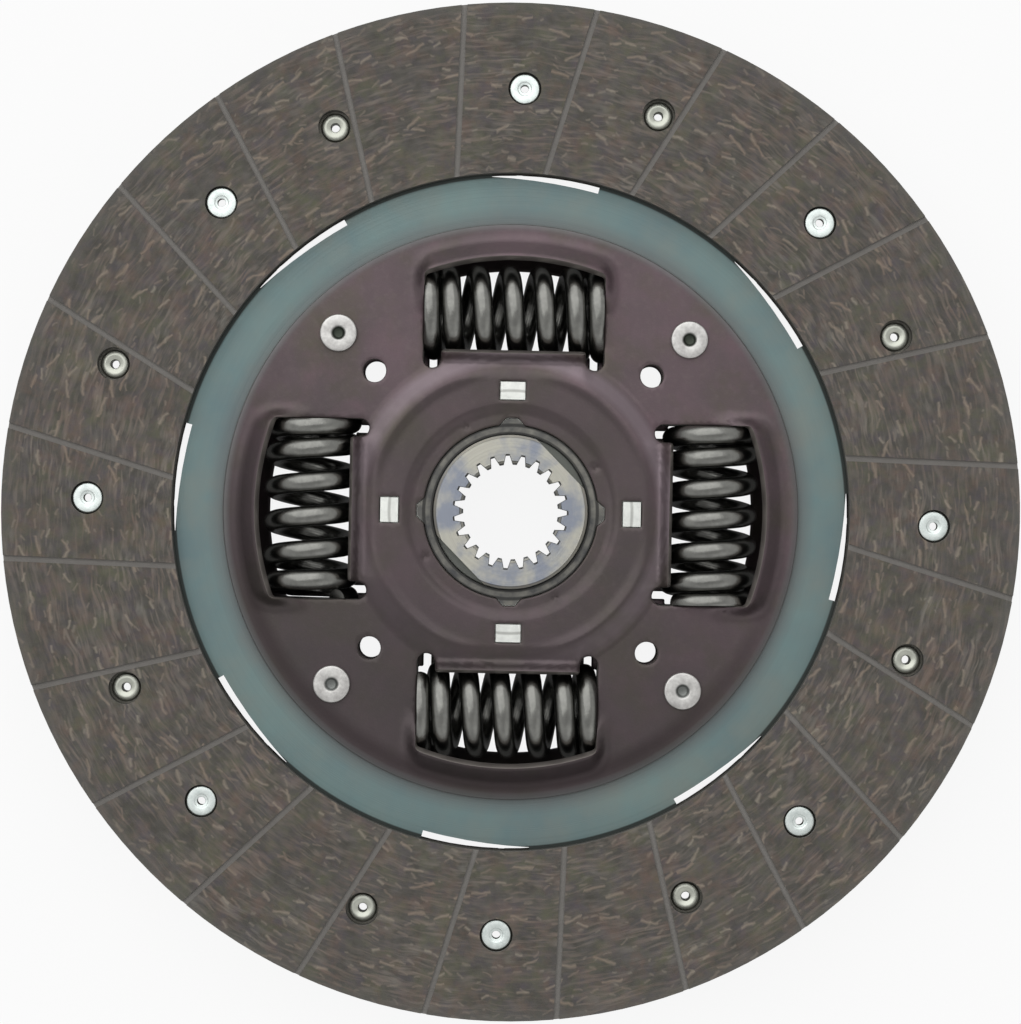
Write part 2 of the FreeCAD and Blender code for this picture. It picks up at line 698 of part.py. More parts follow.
def window_ears(name):
    """The relief slots at the inner corners of the spring windows."""
    tools = []
    for k, angle in enumerate(damper_angles(), 1):
        for side in (-1, 1):
            shift = f"{side} * (Sizes.window_half - Sizes.window_ear_width / 2)"
            depth = "Sizes.front_window_inner - Sizes.window_ear_depth + Sizes.window_ear_width / 2"
            label = f"{name}_{k}_{'left' if side < 0 else 'right'}"
            end = cylinder(label + "_end", "window_ear_width", TALL, BELOW)
            end.setExpression("Radius", "Sizes.window_ear_width / 2")
            end.setExpression("Placement.Base.x", f"({depth}) * cos({angle}) - ({shift}) * sin({angle})")
            end.setExpression("Placement.Base.y", f"({depth}) * sin({angle}) + ({shift}) * cos({angle})")
            slot = doc.addObject("Part::Box", label + "_slot")
            slot.setExpression("Length", "Sizes.window_ear_depth")
            slot.setExpression("Width", "Sizes.window_ear_width")
            slot.setExpression("Height", TALL)
            edge = f"({shift} - Sizes.window_ear_width / 2)"
            slot.setExpression("Placement.Rotation.Angle", angle)
            slot.setExpression("Placement.Base.x", f"({depth}) * cos({angle}) - {edge} * sin({angle})")
            slot.setExpression("Placement.Base.y", f"({depth}) * sin({angle}) + {edge} * cos({angle})")
            slot.setExpression("Placement.Base.z", BELOW)
            tools += [end, slot]
    return tools


def fastener_holes(name):
    """The stop pins' holes and the guide holes of a cover plate."""
    between = 180.0 / size("damper_count")
    pins = round_the_damper(
        lambda label, angle: through_hole(label, "pin_hole_radius", "pin_circle_radius", angle),
        name + "_pin_hole", between)
    guides = round_the_damper(
        lambda label, angle: through_hole(label, "guide_hole_radius", "guide_circle_radius", angle),
        name + "_guide_hole", between)
    return pins + guides


def bore_notches(label):
    """A body with the cover bore's lug notches, cut out of the cover as a tool."""
    body = new_body(label)
    outline = new_sketch(body, label + "_outline", "XY_Plane")
    draw_polygon(outline, [
        ("bush_lug_start", "-notch_root_half"),
        ("notch_outer", "-notch_tip_half"),
        ("notch_outer", "notch_tip_half"),
        ("bush_lug_start", "notch_root_half"),
    ])
    pad(body, outline, "hub_length")
    body.Visibility = False
    return body


def turned_copies(thing, name):
    """Links of one tool, turned to each damper angle."""
    copies = []
    for k, angle in enumerate(damper_angles(), 1):
        holder = doc.addObject("Part::Compound", f"{name}_{k}")
        holder.Links = [thing]
        holder.setExpression("Placement.Rotation.Angle", angle)
        copies.append(holder)
    return copies


def front_cover(label):
    """The stamped plate that shows: dished round the hub, with lips at the spring windows."""
    dish = turned_body(label + "_sheet", [
        ("cover_bore_radius", "collar_back"),
        ("collar_outer_radius", "collar_back"),
        ("plateau_inner_radius", "plateau_back"),
        ("plateau_outer_radius", "plateau_back"),
        ("crest_inner_radius", "crest_back"),
        ("crest_outer_radius", "crest_back"),
        ("dish_outer_radius", "front_cover_back"),
        ("front_cover_radius", "front_cover_back"),
        ("front_cover_radius", "front_cover_face"),
        ("dish_outer_radius", "front_cover_face"),
        ("crest_outer_radius", "crest_face"),
        ("crest_inner_radius", "crest_face"),
        ("plateau_outer_radius", "plateau_face"),
        ("plateau_inner_radius", "plateau_face"),
        ("collar_outer_radius", "collar_face"),
        ("cover_bore_radius", "collar_face"),
    ])
    lip_ring = turned_body(label + "_lip_ring", [
        ("front_lip_root", "front_cover_back"),
        ("front_lip_root", "front_cover_face"),
        ("front_window_outer", "front_lip_face"),
        ("front_window_outer", "front_lip_back"),
    ])
    bars = window_bars(label + "_windows", "front_sheet_window", "Sizes.facing_inner_radius")
    inside = cylinder(label + "_window_edge", "front_lip_root", TALL, BELOW)
    windowed = cut(label + "_windowed", dish, [common(label + "_window_cut", [bars, inside])])
    lips = common(label + "_lips", [lip_ring, bars])
    inner_lips = round_the_damper(
        lambda name, angle: bar(
            name, "Sizes.inner_lip_start", "Sizes.front_window_inner",
            "(Sizes.window_length - 2 * Sizes.window_ear_width)",
            "(Sizes.front_cover_back + Sizes.inner_lip_rise)",
            "(Sizes.front_cover_face + Sizes.inner_lip_rise)", angle),
        label + "_inner_lip")
    formed = fuse(label + "_formed", [windowed, lips] + inner_lips)
    tab_windows = round_the_damper(
        lambda name, angle: bar(
            name, "(Sizes.tab_circle_radius - Sizes.tab_depth / 2 - Sizes.tab_clearance)",
            "(Sizes.tab_circle_radius + Sizes.tab_depth / 2 + Sizes.tab_clearance)",
            "(Sizes.tab_width + 2 * Sizes.tab_clearance)", BELOW, ABOVE, angle),
        label + "_tab_window")
    nicks = []
    for k, angle in enumerate(damper_angles("Sizes.nick_angle"), 1):
        nicks.append(cylinder(f"{label}_nick_{k}", "nick_radius", TALL,
                              "Sizes.collar_face - Sizes.nick_depth", "nick_circle_radius", angle))
    notches = turned_copies(bore_notches(label + "_notch"), label + "_bore_notch")
    tools = window_ears(label + "_ear") + fastener_holes(label) + tab_windows + nicks + notches
    return cut(label, formed, tools)


def rear_cover(label):
    """The flat plate behind, with deeper lips that hold the springs in."""
    plate = ring_body(label + "_sheet", "rear_cover_radius", "cover_bore_radius", "rear_cover_face",
                      "cover_thickness")
    lip_ring = turned_body(label + "_lip_ring", [
        ("rear_lip_root", "rear_cover_face"),
        ("rear_lip_root", "rear_cover_back"),
        ("rear_window_outer", "rear_lip_back"),
        ("rear_window_outer", "rear_lip_face"),
    ])
    bars = window_bars(label + "_windows", "rear_sheet_window", "Sizes.facing_inner_radius")
    inside = cylinder(label + "_window_edge", "rear_lip_root", TALL, BELOW)
    windowed = cut(label + "_windowed", plate, [common(label + "_window_cut", [bars, inside])])
    lips = common(label + "_lips", [lip_ring, bars])
    formed = fuse(label + "_formed", [windowed, lips])
    return cut(label, formed, window_ears(label + "_ear") + fastener_holes(label))


# Hub with its flange

def stop_notches(name):
    """The notches in which the stop pins travel, one wedge of a ring for each pin."""
    tools = []
    for k, angle in enumerate(damper_angles(180.0 / size("damper_count")), 1):
        wedge = doc.addObject("Part::Cylinder", f"{name}_wedge_{k}")
        wedge.setExpression("Radius", "Sizes.facing_inner_radius")
        wedge.setExpression("Height", TALL)
        wedge.setExpression("Angle", "2 * Sizes.stop_notch_angle")
        wedge.setExpression("Placement.Base.z", BELOW)
        wedge.setExpression("Placement.Rotation.Angle", f"{angle} - Sizes.stop_notch_angle")
        core = cylinder(f"{name}_core_{k}", "stop_notch_radius", TALL, BELOW)
        tools.append(cut(f"{name}_{k}", wedge, [core]))
    return tools


def boss_flats(name):
    """The two flats on the front boss."""
    tools = []
    for k in (0, 1):
        tools.append(bar(
            f"{name}_{k + 1}", "Sizes.boss_flat_distance", "(2 * Sizes.hub_barrel_radius)",
            "(2 * Sizes.hub_barrel_radius)", "(Sizes.hub_length - Sizes.boss_flat_depth)", ABOVE,
            f"(Sizes.boss_flat_angle + {180 * k})"))
    return tools


def spline_cutter(label):
    """The tooth spaces of the spline, as one body of bars round the bore."""
    body = new_body(label)
    core = new_sketch(body, label + "_core", "XY_Plane")
    draw_circle(core, "spline_tip_radius")
    pad(body, core, "hub_length")
    space = new_sketch(body, label + "_space", "XY_Plane")
    draw_polygon(space, [
        ("spline_mouth_start", "-spline_mouth_half"),
        ("spline_tip_radius", "-spline_mouth_half"),
        ("spline_root_radius", "-spline_floor_half"),
        ("spline_root_radius", "spline_floor_half"),
        ("spline_tip_radius", "spline_mouth_half"),
        ("spline_mouth_start", "spline_mouth_half"),
    ])
    tooth = pad(body, space, "hub_length")
    repeat_round(body, [tooth], space, "spline_count")
    body.Visibility = False
    return body


def hub(label):
    """The splined hub. Its flange has four arms between the springs, with a notch for each pin."""
    blank = turned_body(label + "_blank", [
        ("hub_chamfer_inner", None),
        ("hub_chamfer_outer", None),
        ("hub_barrel_radius", "hub_chamfer"),
        ("hub_barrel_radius", "hub_rear_length"),
        ("flange_outer_radius", "hub_rear_length"),
        ("flange_outer_radius", "flange_front_level"),
        ("hub_barrel_radius", "flange_front_level"),
        ("hub_barrel_radius", "hub_chamfer_front"),
        ("hub_chamfer_outer", "hub_length"),
        ("hub_chamfer_inner", "hub_length"),
        ("spline_tip_radius", "hub_chamfer_front"),
        ("spline_tip_radius", "hub_chamfer"),
    ])
    guides = round_the_damper(
        lambda name, angle: through_hole(name, "guide_flange_radius", "guide_circle_radius", angle),
        label + "_guide_hole", 180.0 / size("damper_count"))
    windows = window_bars(label + "_windows", "flange_window_inner", "Sizes.facing_inner_radius")
    tools = [windows] + stop_notches(label + "_stop")
    tools += guides + boss_flats(label + "_flat") + [spline_cutter(label + "_spline")]
    return cut(label, blank, tools)


# Damper springs

def spring_centre_line():
    """Points on the coil's centre line: closed end turns, and an even pitch between them."""
    wire = size("spring_wire_radius")
    length = size("spring_length")
    turns = size("spring_turns")
    closed = size("spring_closed_turns")
    end_pitch = 2 * wire + size("spring_closed_gap")
    middle_pitch = (length - 2 * closed * end_pitch) / (turns - 2 * closed)
    coil_radius = size("spring_outer_radius") - wire
    steps_per_turn = 16
    steps = round(turns * steps_per_turn)
    rises = []
    for k in range(steps + 1):
        turn = turns * k / steps
        if turn < closed:
            rises.append(turn * end_pitch)
        elif turn > turns - closed:
            rises.append(length - (turns - turn) * end_pitch)
        else:
            rises.append(closed * end_pitch + (turn - closed) * middle_pitch)
    smooth = steps_per_turn // 4
    points = []
    for k, rise in enumerate(rises):
        reach = min(smooth, k, steps - k)
        near = rises[k - reach:k + reach + 1]
        angle = 2 * math.pi * (turns * k / steps - size("spring_first_crossing"))
        points.append(FreeCAD.Vector(coil_radius * math.cos(angle), coil_radius * math.sin(angle),
                                     sum(near) / len(near) - length / 2))
    return points


def spring_shape():
    """A right-hand coil about Z with ground ends, its middle at the origin."""
    points = spring_centre_line()
    curve = Part.BSplineCurve()
    curve.interpolate(points)
    path = Part.Wire([curve.toShape()])
    start = curve.tangent(curve.FirstParameter)[0]
    section = Part.Wire([Part.Circle(points[0], start, size("spring_wire_radius")).toShape()])
    coil = path.makePipeShell([section], True, True)
    reach = 2 * size("spring_outer_radius")
    length = size("spring_length")
    ground = Part.makeBox(reach, reach, length, FreeCAD.Vector(-reach / 2, -reach / 2, -length / 2))
    return coil.common(ground)


def damper_springs():
    """One spring in each window. A coil's first side faces the front, its axis along the rim."""
    shape = spring_shape()
    count = int(size("damper_count"))
    springs = []
    for k in range(count):
        angle = math.radians(360.0 / count * k)
        outward = FreeCAD.Vector(math.cos(angle), math.sin(angle), 0)
        along = FreeCAD.Vector(math.sin(angle), -math.cos(angle), 0)
        place = outward * size("spring_circle_radius") + Z_AXIS * size("flange_mid_level")
        turn = FreeCAD.Rotation(Z_AXIS, outward.negative(), along, "XYZ")
        spring = doc.addObject("Part::Feature", f"damper_spring_{k + 1}")
        spring.Shape = shape
        spring.Placement = FreeCAD.Placement(place, turn)
        springs.append(spring)
    return springs


# Stop pins

def stop_pin(label, angle):
    """A shouldered pin, riveted over at both ends."""
    body = turned_body(label, [
        (None, "pin_rear_head"),
        ("pin_head_flat", "pin_rear_head"),
        ("pin_head_radius", "pin_rear_edge"),
        ("pin_head_radius", "rear_cover_face"),
        ("pin_shank_radius", "rear_cover_face"),
        ("pin_shank_radius", "rear_cover_back"),
        ("pin_body_radius", "rear_cover_back"),
        ("pin_body_radius", "cushion_rear_level"),
        ("pin_shank_radius", "cushion_rear_level"),
        ("pin_shank_radius", "front_cover_face"),
        ("pin_head_radius", "front_cover_face"),
        ("pin_head_radius", "pin_front_edge"),
        ("pin_head_flat", "pin_front_head"),
        ("pin_dimple_radius", "pin_front_head"),
        (None, "pin_dimple_floor"),
    ])
    body.setExpression("Placement.Base.x", f"Sizes.pin_circle_radius * cos({angle})")
    body.setExpression("Placement.Base.y", f"Sizes.pin_circle_radius * sin({angle})")
    return body


# Friction washers, thrust plate, cone spring and bushes round the hub

def thrust_plate(label):
    """A flat ring whose tabs stand in the front cover's windows and keep it from turning."""
    ring = ring_body(label + "_ring", "thrust_plate_radius", "washer_inner_radius",
                     "thrust_plate_level", "thrust_plate_thickness")
    tabs = round_the_damper(
        lambda name, angle: bar(
            name, "(Sizes.tab_circle_radius - Sizes.tab_depth / 2)",
            "(Sizes.tab_circle_radius + Sizes.tab_depth / 2)",
            "Sizes.tab_width", "Sizes.thrust_plate_level", "Sizes.tab_face", angle),
        label + "_tab")
    return fuse(label, [ring] + tabs)


def cone_spring(label):
    """A coned washer between the thrust plate and the crest of the front cover."""
    return turned_body(label, [
        ("cone_inner_radius", "thrust_plate_face"),
        ("cone_outer_radius", "cone_outer_back"),
        ("cone_outer_radius", "crest_back"),
        ("cone_inner_radius", "cone_inner_face"),
    ])


def front_bush(label):
    """The resin ring that centres the front cover on the boss, with lugs in the cover's notches."""
    tube = turned_body(label + "_tube", [
        ("bush_inner_radius", "flange_front_level"),
        ("bush_outer_radius", "flange_front_level"),
        ("bush_outer_radius", "bush_face"),
        ("bush_inner_radius", "bush_face"),
    ])
    lug = new_body(label + "_lug")
    outline = new_sketch(lug, label + "_lug_outline", "XY_Plane", "bush_lug_level")
    draw_polygon(outline, [
        ("bush_lug_start", "-bush_lug_root_half"),
        ("bush_lug_outer", "-bush_lug_tip_half"),
        ("bush_lug_outer", "bush_lug_tip_half"),
        ("bush_lug_start", "bush_lug_root_half"),
    ])
    pad(lug, outline, "bush_lug_height")
    lug.Visibility = False
    bore = cylinder(label + "_bore", "bush_inner_radius", TALL, BELOW)
    lugs = cut(label + "_lugs", fuse(label + "_all_lugs", turned_copies(lug, label + "_lug_at")), [bore])
    return fuse(label, [tube, lugs])


def rear_bush(label):
    """The plain ring that centres the rear cover on the hub."""
    return turned_body(label, [
        ("bush_inner_radius", "rear_cover_face"),
        ("bush_outer_radius", "rear_cover_face"),
        ("bush_outer_radius", "hub_rear_length"),
        ("bush_inner_radius", "hub_rear_length"),
    ])


def washer(label, level, thickness):
    return ring_body(label, "washer_outer_radius", "washer_inner_radius", level, thickness)


def build():
    """Makes every piece, and returns the objects that are written out."""
    front = facing("facing_front")
    rear = facing("facing_rear")
    front_rivets = facing_rivets("facing_rivets_front")
    rear_rivets = facing_rivets("facing_rivets_rear")
    pieces = [front, rear, front_rivets, rear_rivets]
    pieces.append(cushion_plate("cushion_plate"))
    pieces.append(front_cover("cover_plate_front"))
    pieces.append(rear_cover("cover_plate_rear"))
    pieces.append(hub("hub"))
    pieces += damper_springs()
    for k, angle in enumerate(damper_angles(180.0 / size("damper_count")), 1):
        pieces.append(stop_pin(f"stop_pin_{k}", angle))
    pieces.append(washer("friction_washer_front", "flange_front_level", "front_washer_thickness"))
    pieces.append(washer("friction_washer_rear", "rear_cover_back", "rear_washer_thickness"))
    pieces.append(thrust_plate("thrust_plate"))
    pieces.append(cone_spring("cone_spring"))
    pieces.append(front_bush("bush_front"))
    pieces.append(rear_bush("bush_rear"))
    for piece in (rear, rear_rivets):
        piece.setExpression("Placement.Base.z", None)
        turn_over(piece)
    doc.recompute()
    return pieces


def check(pieces):
    """Stops if a feature failed, or if a piece's shape is empty or broken."""
    for thing in doc.Objects:
        bad = [state for state in thing.State if state in ("Invalid", "Error")]
        if bad:
            raise RuntimeError(f"{thing.Name}: {bad}")
    for piece in pieces:
        shape = piece.Shape
        if shape.isNull() or not shape.isValid() or not shape.Solids:
            raise RuntimeError(f"{piece.Label} has no valid solid")


def write(pieces):
    os.makedirs("parts", exist_ok=True)
    for piece in pieces:
        piece.Shape.exportStep(f"parts/{piece.Label}.step")
        box = piece.Shape.BoundBox
        print(f"{piece.Label:24s} solids {len(piece.Shape.Solids):2d}  volume {piece.Shape.Volume:10.1f}"
              f"  z {box.ZMin:6.2f} to {box.ZMax:6.2f}")


pieces = build()
check(pieces)
write(pieces)
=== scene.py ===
# %% [markdown]
# # A clutch disc
#
# A clutch disc sits between an engine's flywheel and the gearbox. Two friction linings grip, a splined hub
# slides on the gearbox shaft, and four coil springs between them soften the jolt as the clutch bites.
#
# The CAD model gives every piece its place, so the lesson starts by loading it as a fixed frame. What a
# plain solid can't show well is built again here: the drawn sheet of the cover plates, the coils and the
# rivets. Everything else keeps its CAD shape and gets a finish.

# %% Load the frame
import json
import math

import bpy
import numpy as np
from mathutils import Matrix, Vector
from mathutils.geometry import delaunay_2d_cdt


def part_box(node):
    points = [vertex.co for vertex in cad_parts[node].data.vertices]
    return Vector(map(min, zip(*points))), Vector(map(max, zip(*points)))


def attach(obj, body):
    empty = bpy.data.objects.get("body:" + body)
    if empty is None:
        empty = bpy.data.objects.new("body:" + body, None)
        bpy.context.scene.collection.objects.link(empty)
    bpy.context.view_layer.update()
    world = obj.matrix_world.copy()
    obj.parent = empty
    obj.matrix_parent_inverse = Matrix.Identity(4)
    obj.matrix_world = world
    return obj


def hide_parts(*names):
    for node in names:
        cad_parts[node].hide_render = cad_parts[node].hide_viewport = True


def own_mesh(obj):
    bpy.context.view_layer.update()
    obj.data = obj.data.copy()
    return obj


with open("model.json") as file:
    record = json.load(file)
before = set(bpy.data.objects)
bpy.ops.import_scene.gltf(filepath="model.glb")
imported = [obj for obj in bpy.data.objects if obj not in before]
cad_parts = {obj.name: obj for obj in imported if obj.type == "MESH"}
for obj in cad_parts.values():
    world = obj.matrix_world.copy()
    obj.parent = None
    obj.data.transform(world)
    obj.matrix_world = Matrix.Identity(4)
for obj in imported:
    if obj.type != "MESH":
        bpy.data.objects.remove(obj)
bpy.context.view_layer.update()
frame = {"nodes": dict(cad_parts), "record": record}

# %% [markdown]
# ## Sizes
#
# Blender works in metres and the drawing of a clutch disc in millimetres, so one factor turns the one into
# the other. Outer sizes are read from the frame's boxes. A box doesn't tell where the holes and bends are, so
# those are named, in millimetres, with radii from the disc's axis.

# %% Sizes from the frame
MM = 0.001
DAMPER_ANGLES = [math.radians(90 * k) for k in range(4)]
BETWEEN_ANGLES = [math.radians(45 + 90 * k) for k in range(4)]


def box_mm(node):
    """The lowest and highest corner of a CAD node, in millimetres."""
    low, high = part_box(node)
    return low / MM, high / MM


plate_low, plate_high = box_mm("cushion_plate")
cover_low, cover_high = box_mm("cover_plate_front")
facing_high, rear_high, hub_high = (box_mm(node)[1] for node in ("facing_front", "cover_plate_rear", "hub"))
FACING_RADIUS = facing_high.x
FACING_BORE = FACING_RADIUS * 2 / 3
COVER_RADIUS = cover_high.x
HUB_TOP = hub_high.z
PIN_CIRCLE = 54.9
TAB_CIRCLE = 26.8
BORE_RADIUS = 19.3
BUSH_BORE = 17.05
FACE_LEVEL = facing_high.z
PACK_LEVEL = (plate_low.z + plate_high.z) / 2
print("facing radius", round(FACING_RADIUS, 2), "face", round(FACE_LEVEL, 2), "pack", round(PACK_LEVEL, 2))

# %% [markdown]
# ## The camera
#
# The disc is seen square on, from straight above. The picture's height takes in just a little more than
# the disc, and the disc is rolled by about a degree. A long lens from 0.8 m keeps the far rim as large as
# in the photograph: from nearer, the deep rivet holes would lean outwards.

# %% Camera above the disc
VIEW_DISTANCE = 0.80
DISC_IN_PICTURE = 0.9952
CAMERA_ROLL = math.radians(1.15)


def new_object(name, data):
    """An object with this data, in the scene."""
    thing = bpy.data.objects.new(name, data)
    bpy.context.scene.collection.objects.link(thing)
    return thing


half_height = FACING_RADIUS * MM / DISC_IN_PICTURE
lens = bpy.data.cameras.new("photo_camera")
lens.angle = 2 * math.atan(half_height / VIEW_DISTANCE)
lens.clip_start = 0.01
camera = new_object("photo_camera", lens)
camera.location = (0, 0, FACE_LEVEL * MM + VIEW_DISTANCE)
camera.rotation_euler = (0, 0, CAMERA_ROLL)
bpy.context.scene.camera = camera
print("lens", round(lens.lens, 1), "mm")

# %% [markdown]
# ## Node trees in a few words
#
# Shader trees and Geometry Nodes trees are both made of nodes and links, and share the Math nodes. A small
# helper adds a node, sets its inputs by name or number and returns it, so that each finish below reads as a
# list of steps.

# %% A helper for node trees


class Tree:
    """A node tree, with short ways to add and join its nodes."""

    def __init__(self, tree):
        self.tree = tree

    def put(self, value, socket):
        """Links another node's output to a socket, or sets the socket's own value."""
        if isinstance(value, bpy.types.NodeSocket):
            self.tree.links.new(value, socket)
        else:
            socket.default_value = value

    def add(self, kind, inputs=None, **settings):
        """Adds a node, with its settings first and then its inputs."""
        node = self.tree.nodes.new(kind)
        for name, value in settings.items():
            setattr(node, name, value)
        for name, value in (inputs or {}).items():
            self.put(value, node.inputs[name])
        return node

    def math(self, operation, *values, clamp=False):
        """The result of a Math node."""
        inputs = dict(enumerate(values))
        return self.add("ShaderNodeMath", inputs, operation=operation, use_clamp=clamp).outputs[0]

    def plus(self, first, second):
        return self.math("ADD", first, second)

    def minus(self, first, second):
        return self.math("SUBTRACT", first, second)

    def times(self, first, second):
        return self.math("MULTIPLY", first, second)

    def gap(self, value, middle):
        """How far a value is from a middle one."""
        return self.math("ABSOLUTE", self.minus(value, middle))

    def vector(self, operation, first, second):
        """The result of a Vector Math node."""
        key = "Scale" if operation == "SCALE" else 1
        return self.add("ShaderNodeVectorMath", {0: first, key: second}, operation=operation).outputs[0]

    def parts(self, vector):
        """A vector's X, Y and Z."""
        return self.add("ShaderNodeSeparateXYZ", {0: vector}).outputs

    def joined(self, x=0.0, y=0.0, z=0.0):
        """A vector from its X, Y and Z."""
        return self.add("ShaderNodeCombineXYZ", {0: x, 1: y, 2: z}).outputs[0]

    def mix(self, share, first, second):
        """The number between two, by a share from 0 to 1."""
        return self.add("ShaderNodeMix", {0: share, 2: first, 3: second}, data_type="FLOAT").outputs[0]

    def blend(self, share, first, second):
        """The colour between two, by a share from 0 to 1."""
        return self.add("ShaderNodeMix", {0: share, 6: first, 7: second}, data_type="RGBA").outputs[2]

    def ramp(self, value, low, high, to_low=0.0, to_high=1.0):
        """The value, stretched from one range to another and held at its ends."""
        inputs = {"Value": value, "From Min": low, "From Max": high, "To Min": to_low, "To Max": to_high}
        return self.add("ShaderNodeMapRange", inputs, clamp=True).outputs[0]

    def noise(self, place, size, detail=3.0, seed=0.0):
        """Cloudy noise from 0 to 1, whose blotches are about as wide as size in millimetres."""
        inputs = {"Vector": place, "W": seed, "Scale": 1 / size, "Detail": detail}
        return self.add("ShaderNodeTexNoise", inputs, noise_dimensions="4D").outputs[0]


def colour(red, green, blue):
    """A colour as a picture gives it, from 0 to 255, turned into Blender's linear values."""
    def linear(level):
        level = level / 255
        return level / 12.92 if level <= 0.04045 else ((level + 0.055) / 1.055) ** 2.4
    return (linear(red), linear(green), linear(blue), 1.0)


print("middle grey is", round(colour(128, 128, 128)[0], 3))

# %% [markdown]
# ## Effects that several finishes share
#
# Most finishes here need the same three things: a place in millimetres, cloudy variation, and fine turning
# or grinding lines. Each is a shader node group with named sockets, built once, and so are the lining's
# fibres and strands. The groups put out only values, and each material decides what to do with them.

# %% Shader groups


def new_group(name, inputs, outputs, sort="ShaderNodeTree"):
    """An empty node group. An input is named with its kind of socket, or with a number's default value."""
    group = bpy.data.node_groups.new(name, sort)
    for label, value in inputs.items():
        kind = value if isinstance(value, str) else "Float"
        socket = group.interface.new_socket(label, in_out="INPUT", socket_type="NodeSocket" + kind)
        if value != kind:
            socket.default_value = value
    for label, kind in outputs.items():
        group.interface.new_socket(label, in_out="OUTPUT", socket_type="NodeSocket" + kind)
    tree = Tree(group)
    return group, tree, tree.add("NodeGroupInput").outputs, tree.add("NodeGroupOutput").inputs


def make_place_group():
    """Object coordinates in millimetres, and the distance and angle round the disc's axis."""
    group, tree, _, ends = new_group("place on the disc", {}, {
        "Place": "Vector", "Radius": "Float", "Angle": "Float", "Height": "Float"})
    place = tree.vector("SCALE", tree.add("ShaderNodeTexCoord").outputs["Object"], 1 / MM)
    x, y, height = tree.parts(place)
    tree.put(place, ends["Place"])
    tree.put(tree.math("SQRT", tree.plus(tree.times(x, x), tree.times(y, y))), ends["Radius"])
    tree.put(tree.math("ARCTAN2", y, x), ends["Angle"])
    tree.put(height, ends["Height"])
    return group


def make_clouds_group():
    """Soft blotches of one size, with finer ones in them."""
    group, tree, starts, ends = new_group(
        "clouds", {"Place": "Vector", "Size": 10.0, "Seed": 0.0}, {"Value": "Float"})
    scale = tree.math("DIVIDE", 1.0, starts["Size"])
    inputs = {"Vector": starts["Place"], "W": starts["Seed"], "Scale": scale, "Detail": 4.0, "Roughness": 0.6}
    clouds = tree.add("ShaderNodeTexNoise", inputs, noise_dimensions="4D").outputs[0]
    tree.put(tree.ramp(clouds, 0.3, 0.7), ends["Value"])
    return group


def make_fibre_group():
    """One layer of short fibres that lie roughly along the lining's ring.

    Each cell of a Voronoi pattern holds one fibre, turned a little by the cell's own random number.
    """
    group, tree, starts, ends = new_group("fibres", {
        "Place": "Vector", "Cell": 3.0, "Length": 2.4, "Width": 0.3, "Spread": 1.2, "Amount": 0.8,
        "Seed": 0.0}, {"Mask": "Float", "Shade": "Float"})
    soft_end = 0.35
    place = starts["Place"]
    sway = tree.add("ShaderNodeTexNoise", {"Vector": place, "Scale": 0.35, "Detail": 2.0}).outputs[1]
    sway = tree.vector("SCALE", tree.vector("SUBTRACT", sway, (0.5, 0.5, 0.5)), 1.6)
    moved = tree.vector("ADD", tree.vector("ADD", place, sway), tree.joined(starts["Seed"], starts["Seed"]))
    cells = tree.vector("SCALE", moved, tree.math("DIVIDE", 1.0, starts["Cell"]))
    pattern = tree.add("ShaderNodeTexVoronoi", {"Vector": cells, "Scale": 1.0}, voronoi_dimensions="2D")
    offset = tree.vector("SUBTRACT", cells, pattern.outputs["Position"])
    chance = tree.add("ShaderNodeSeparateColor", {0: pattern.outputs["Color"]}).outputs
    x, y, _ = tree.parts(place)
    around = tree.plus(tree.math("ARCTAN2", y, x), math.pi / 2)
    turn = tree.times(tree.minus(chance[0], 0.5), starts["Spread"])
    angle = tree.times(tree.plus(around, turn), -1.0)
    local = tree.add("ShaderNodeVectorRotate", {"Vector": offset, "Angle": angle}, rotation_type="Z_AXIS")
    ways = tree.parts(local.outputs[0])
    along, across = (tree.times(tree.math("ABSOLUTE", way), starts["Cell"]) for way in ways[:2])
    reach = tree.times(starts["Length"], tree.math("MULTIPLY_ADD", chance[1], 0.35, 0.15))
    inside_length = tree.math("DIVIDE", tree.minus(reach, along), soft_end, clamp=True)
    half_width = tree.times(starts["Width"], 0.5)
    inside_width = tree.math("SUBTRACT", 1.0, tree.math("DIVIDE", across, half_width), clamp=True)
    present = tree.math("LESS_THAN", chance[2], starts["Amount"])
    tree.put(tree.times(tree.times(inside_length, inside_width), present), ends["Mask"])
    tree.put(chance[1], ends["Shade"])
    return group


def make_strand_group():
    """Long soft strands that follow the ring: noise, stretched along the circle and a little wavy."""
    group, tree, starts, ends = new_group("strands", {
        "Place": "Vector", "Radius": 0.0, "Angle": 0.0, "Turns": 20.0, "Width": 0.5, "Sway": 1.5,
        "Seed": 0.0}, {"Value": "Float"})
    wave = tree.add("ShaderNodeTexNoise", {"Vector": starts["Place"], "Scale": 0.12, "Detail": 1.0})
    shift = tree.times(tree.minus(wave.outputs[0], 0.5), starts["Sway"])
    across = tree.math("DIVIDE", tree.plus(starts["Radius"], shift), starts["Width"])
    round_it = [tree.times(tree.math(way, starts["Angle"]), starts["Turns"]) for way in ("COSINE", "SINE")]
    strands = tree.add("ShaderNodeTexNoise", {
        "Vector": tree.joined(*round_it, across), "W": starts["Seed"], "Scale": 1.0, "Detail": 1.5,
        "Roughness": 0.55}, noise_dimensions="4D").outputs[0]
    tree.put(tree.ramp(strands, 0.3, 0.7), ends["Value"])
    return group


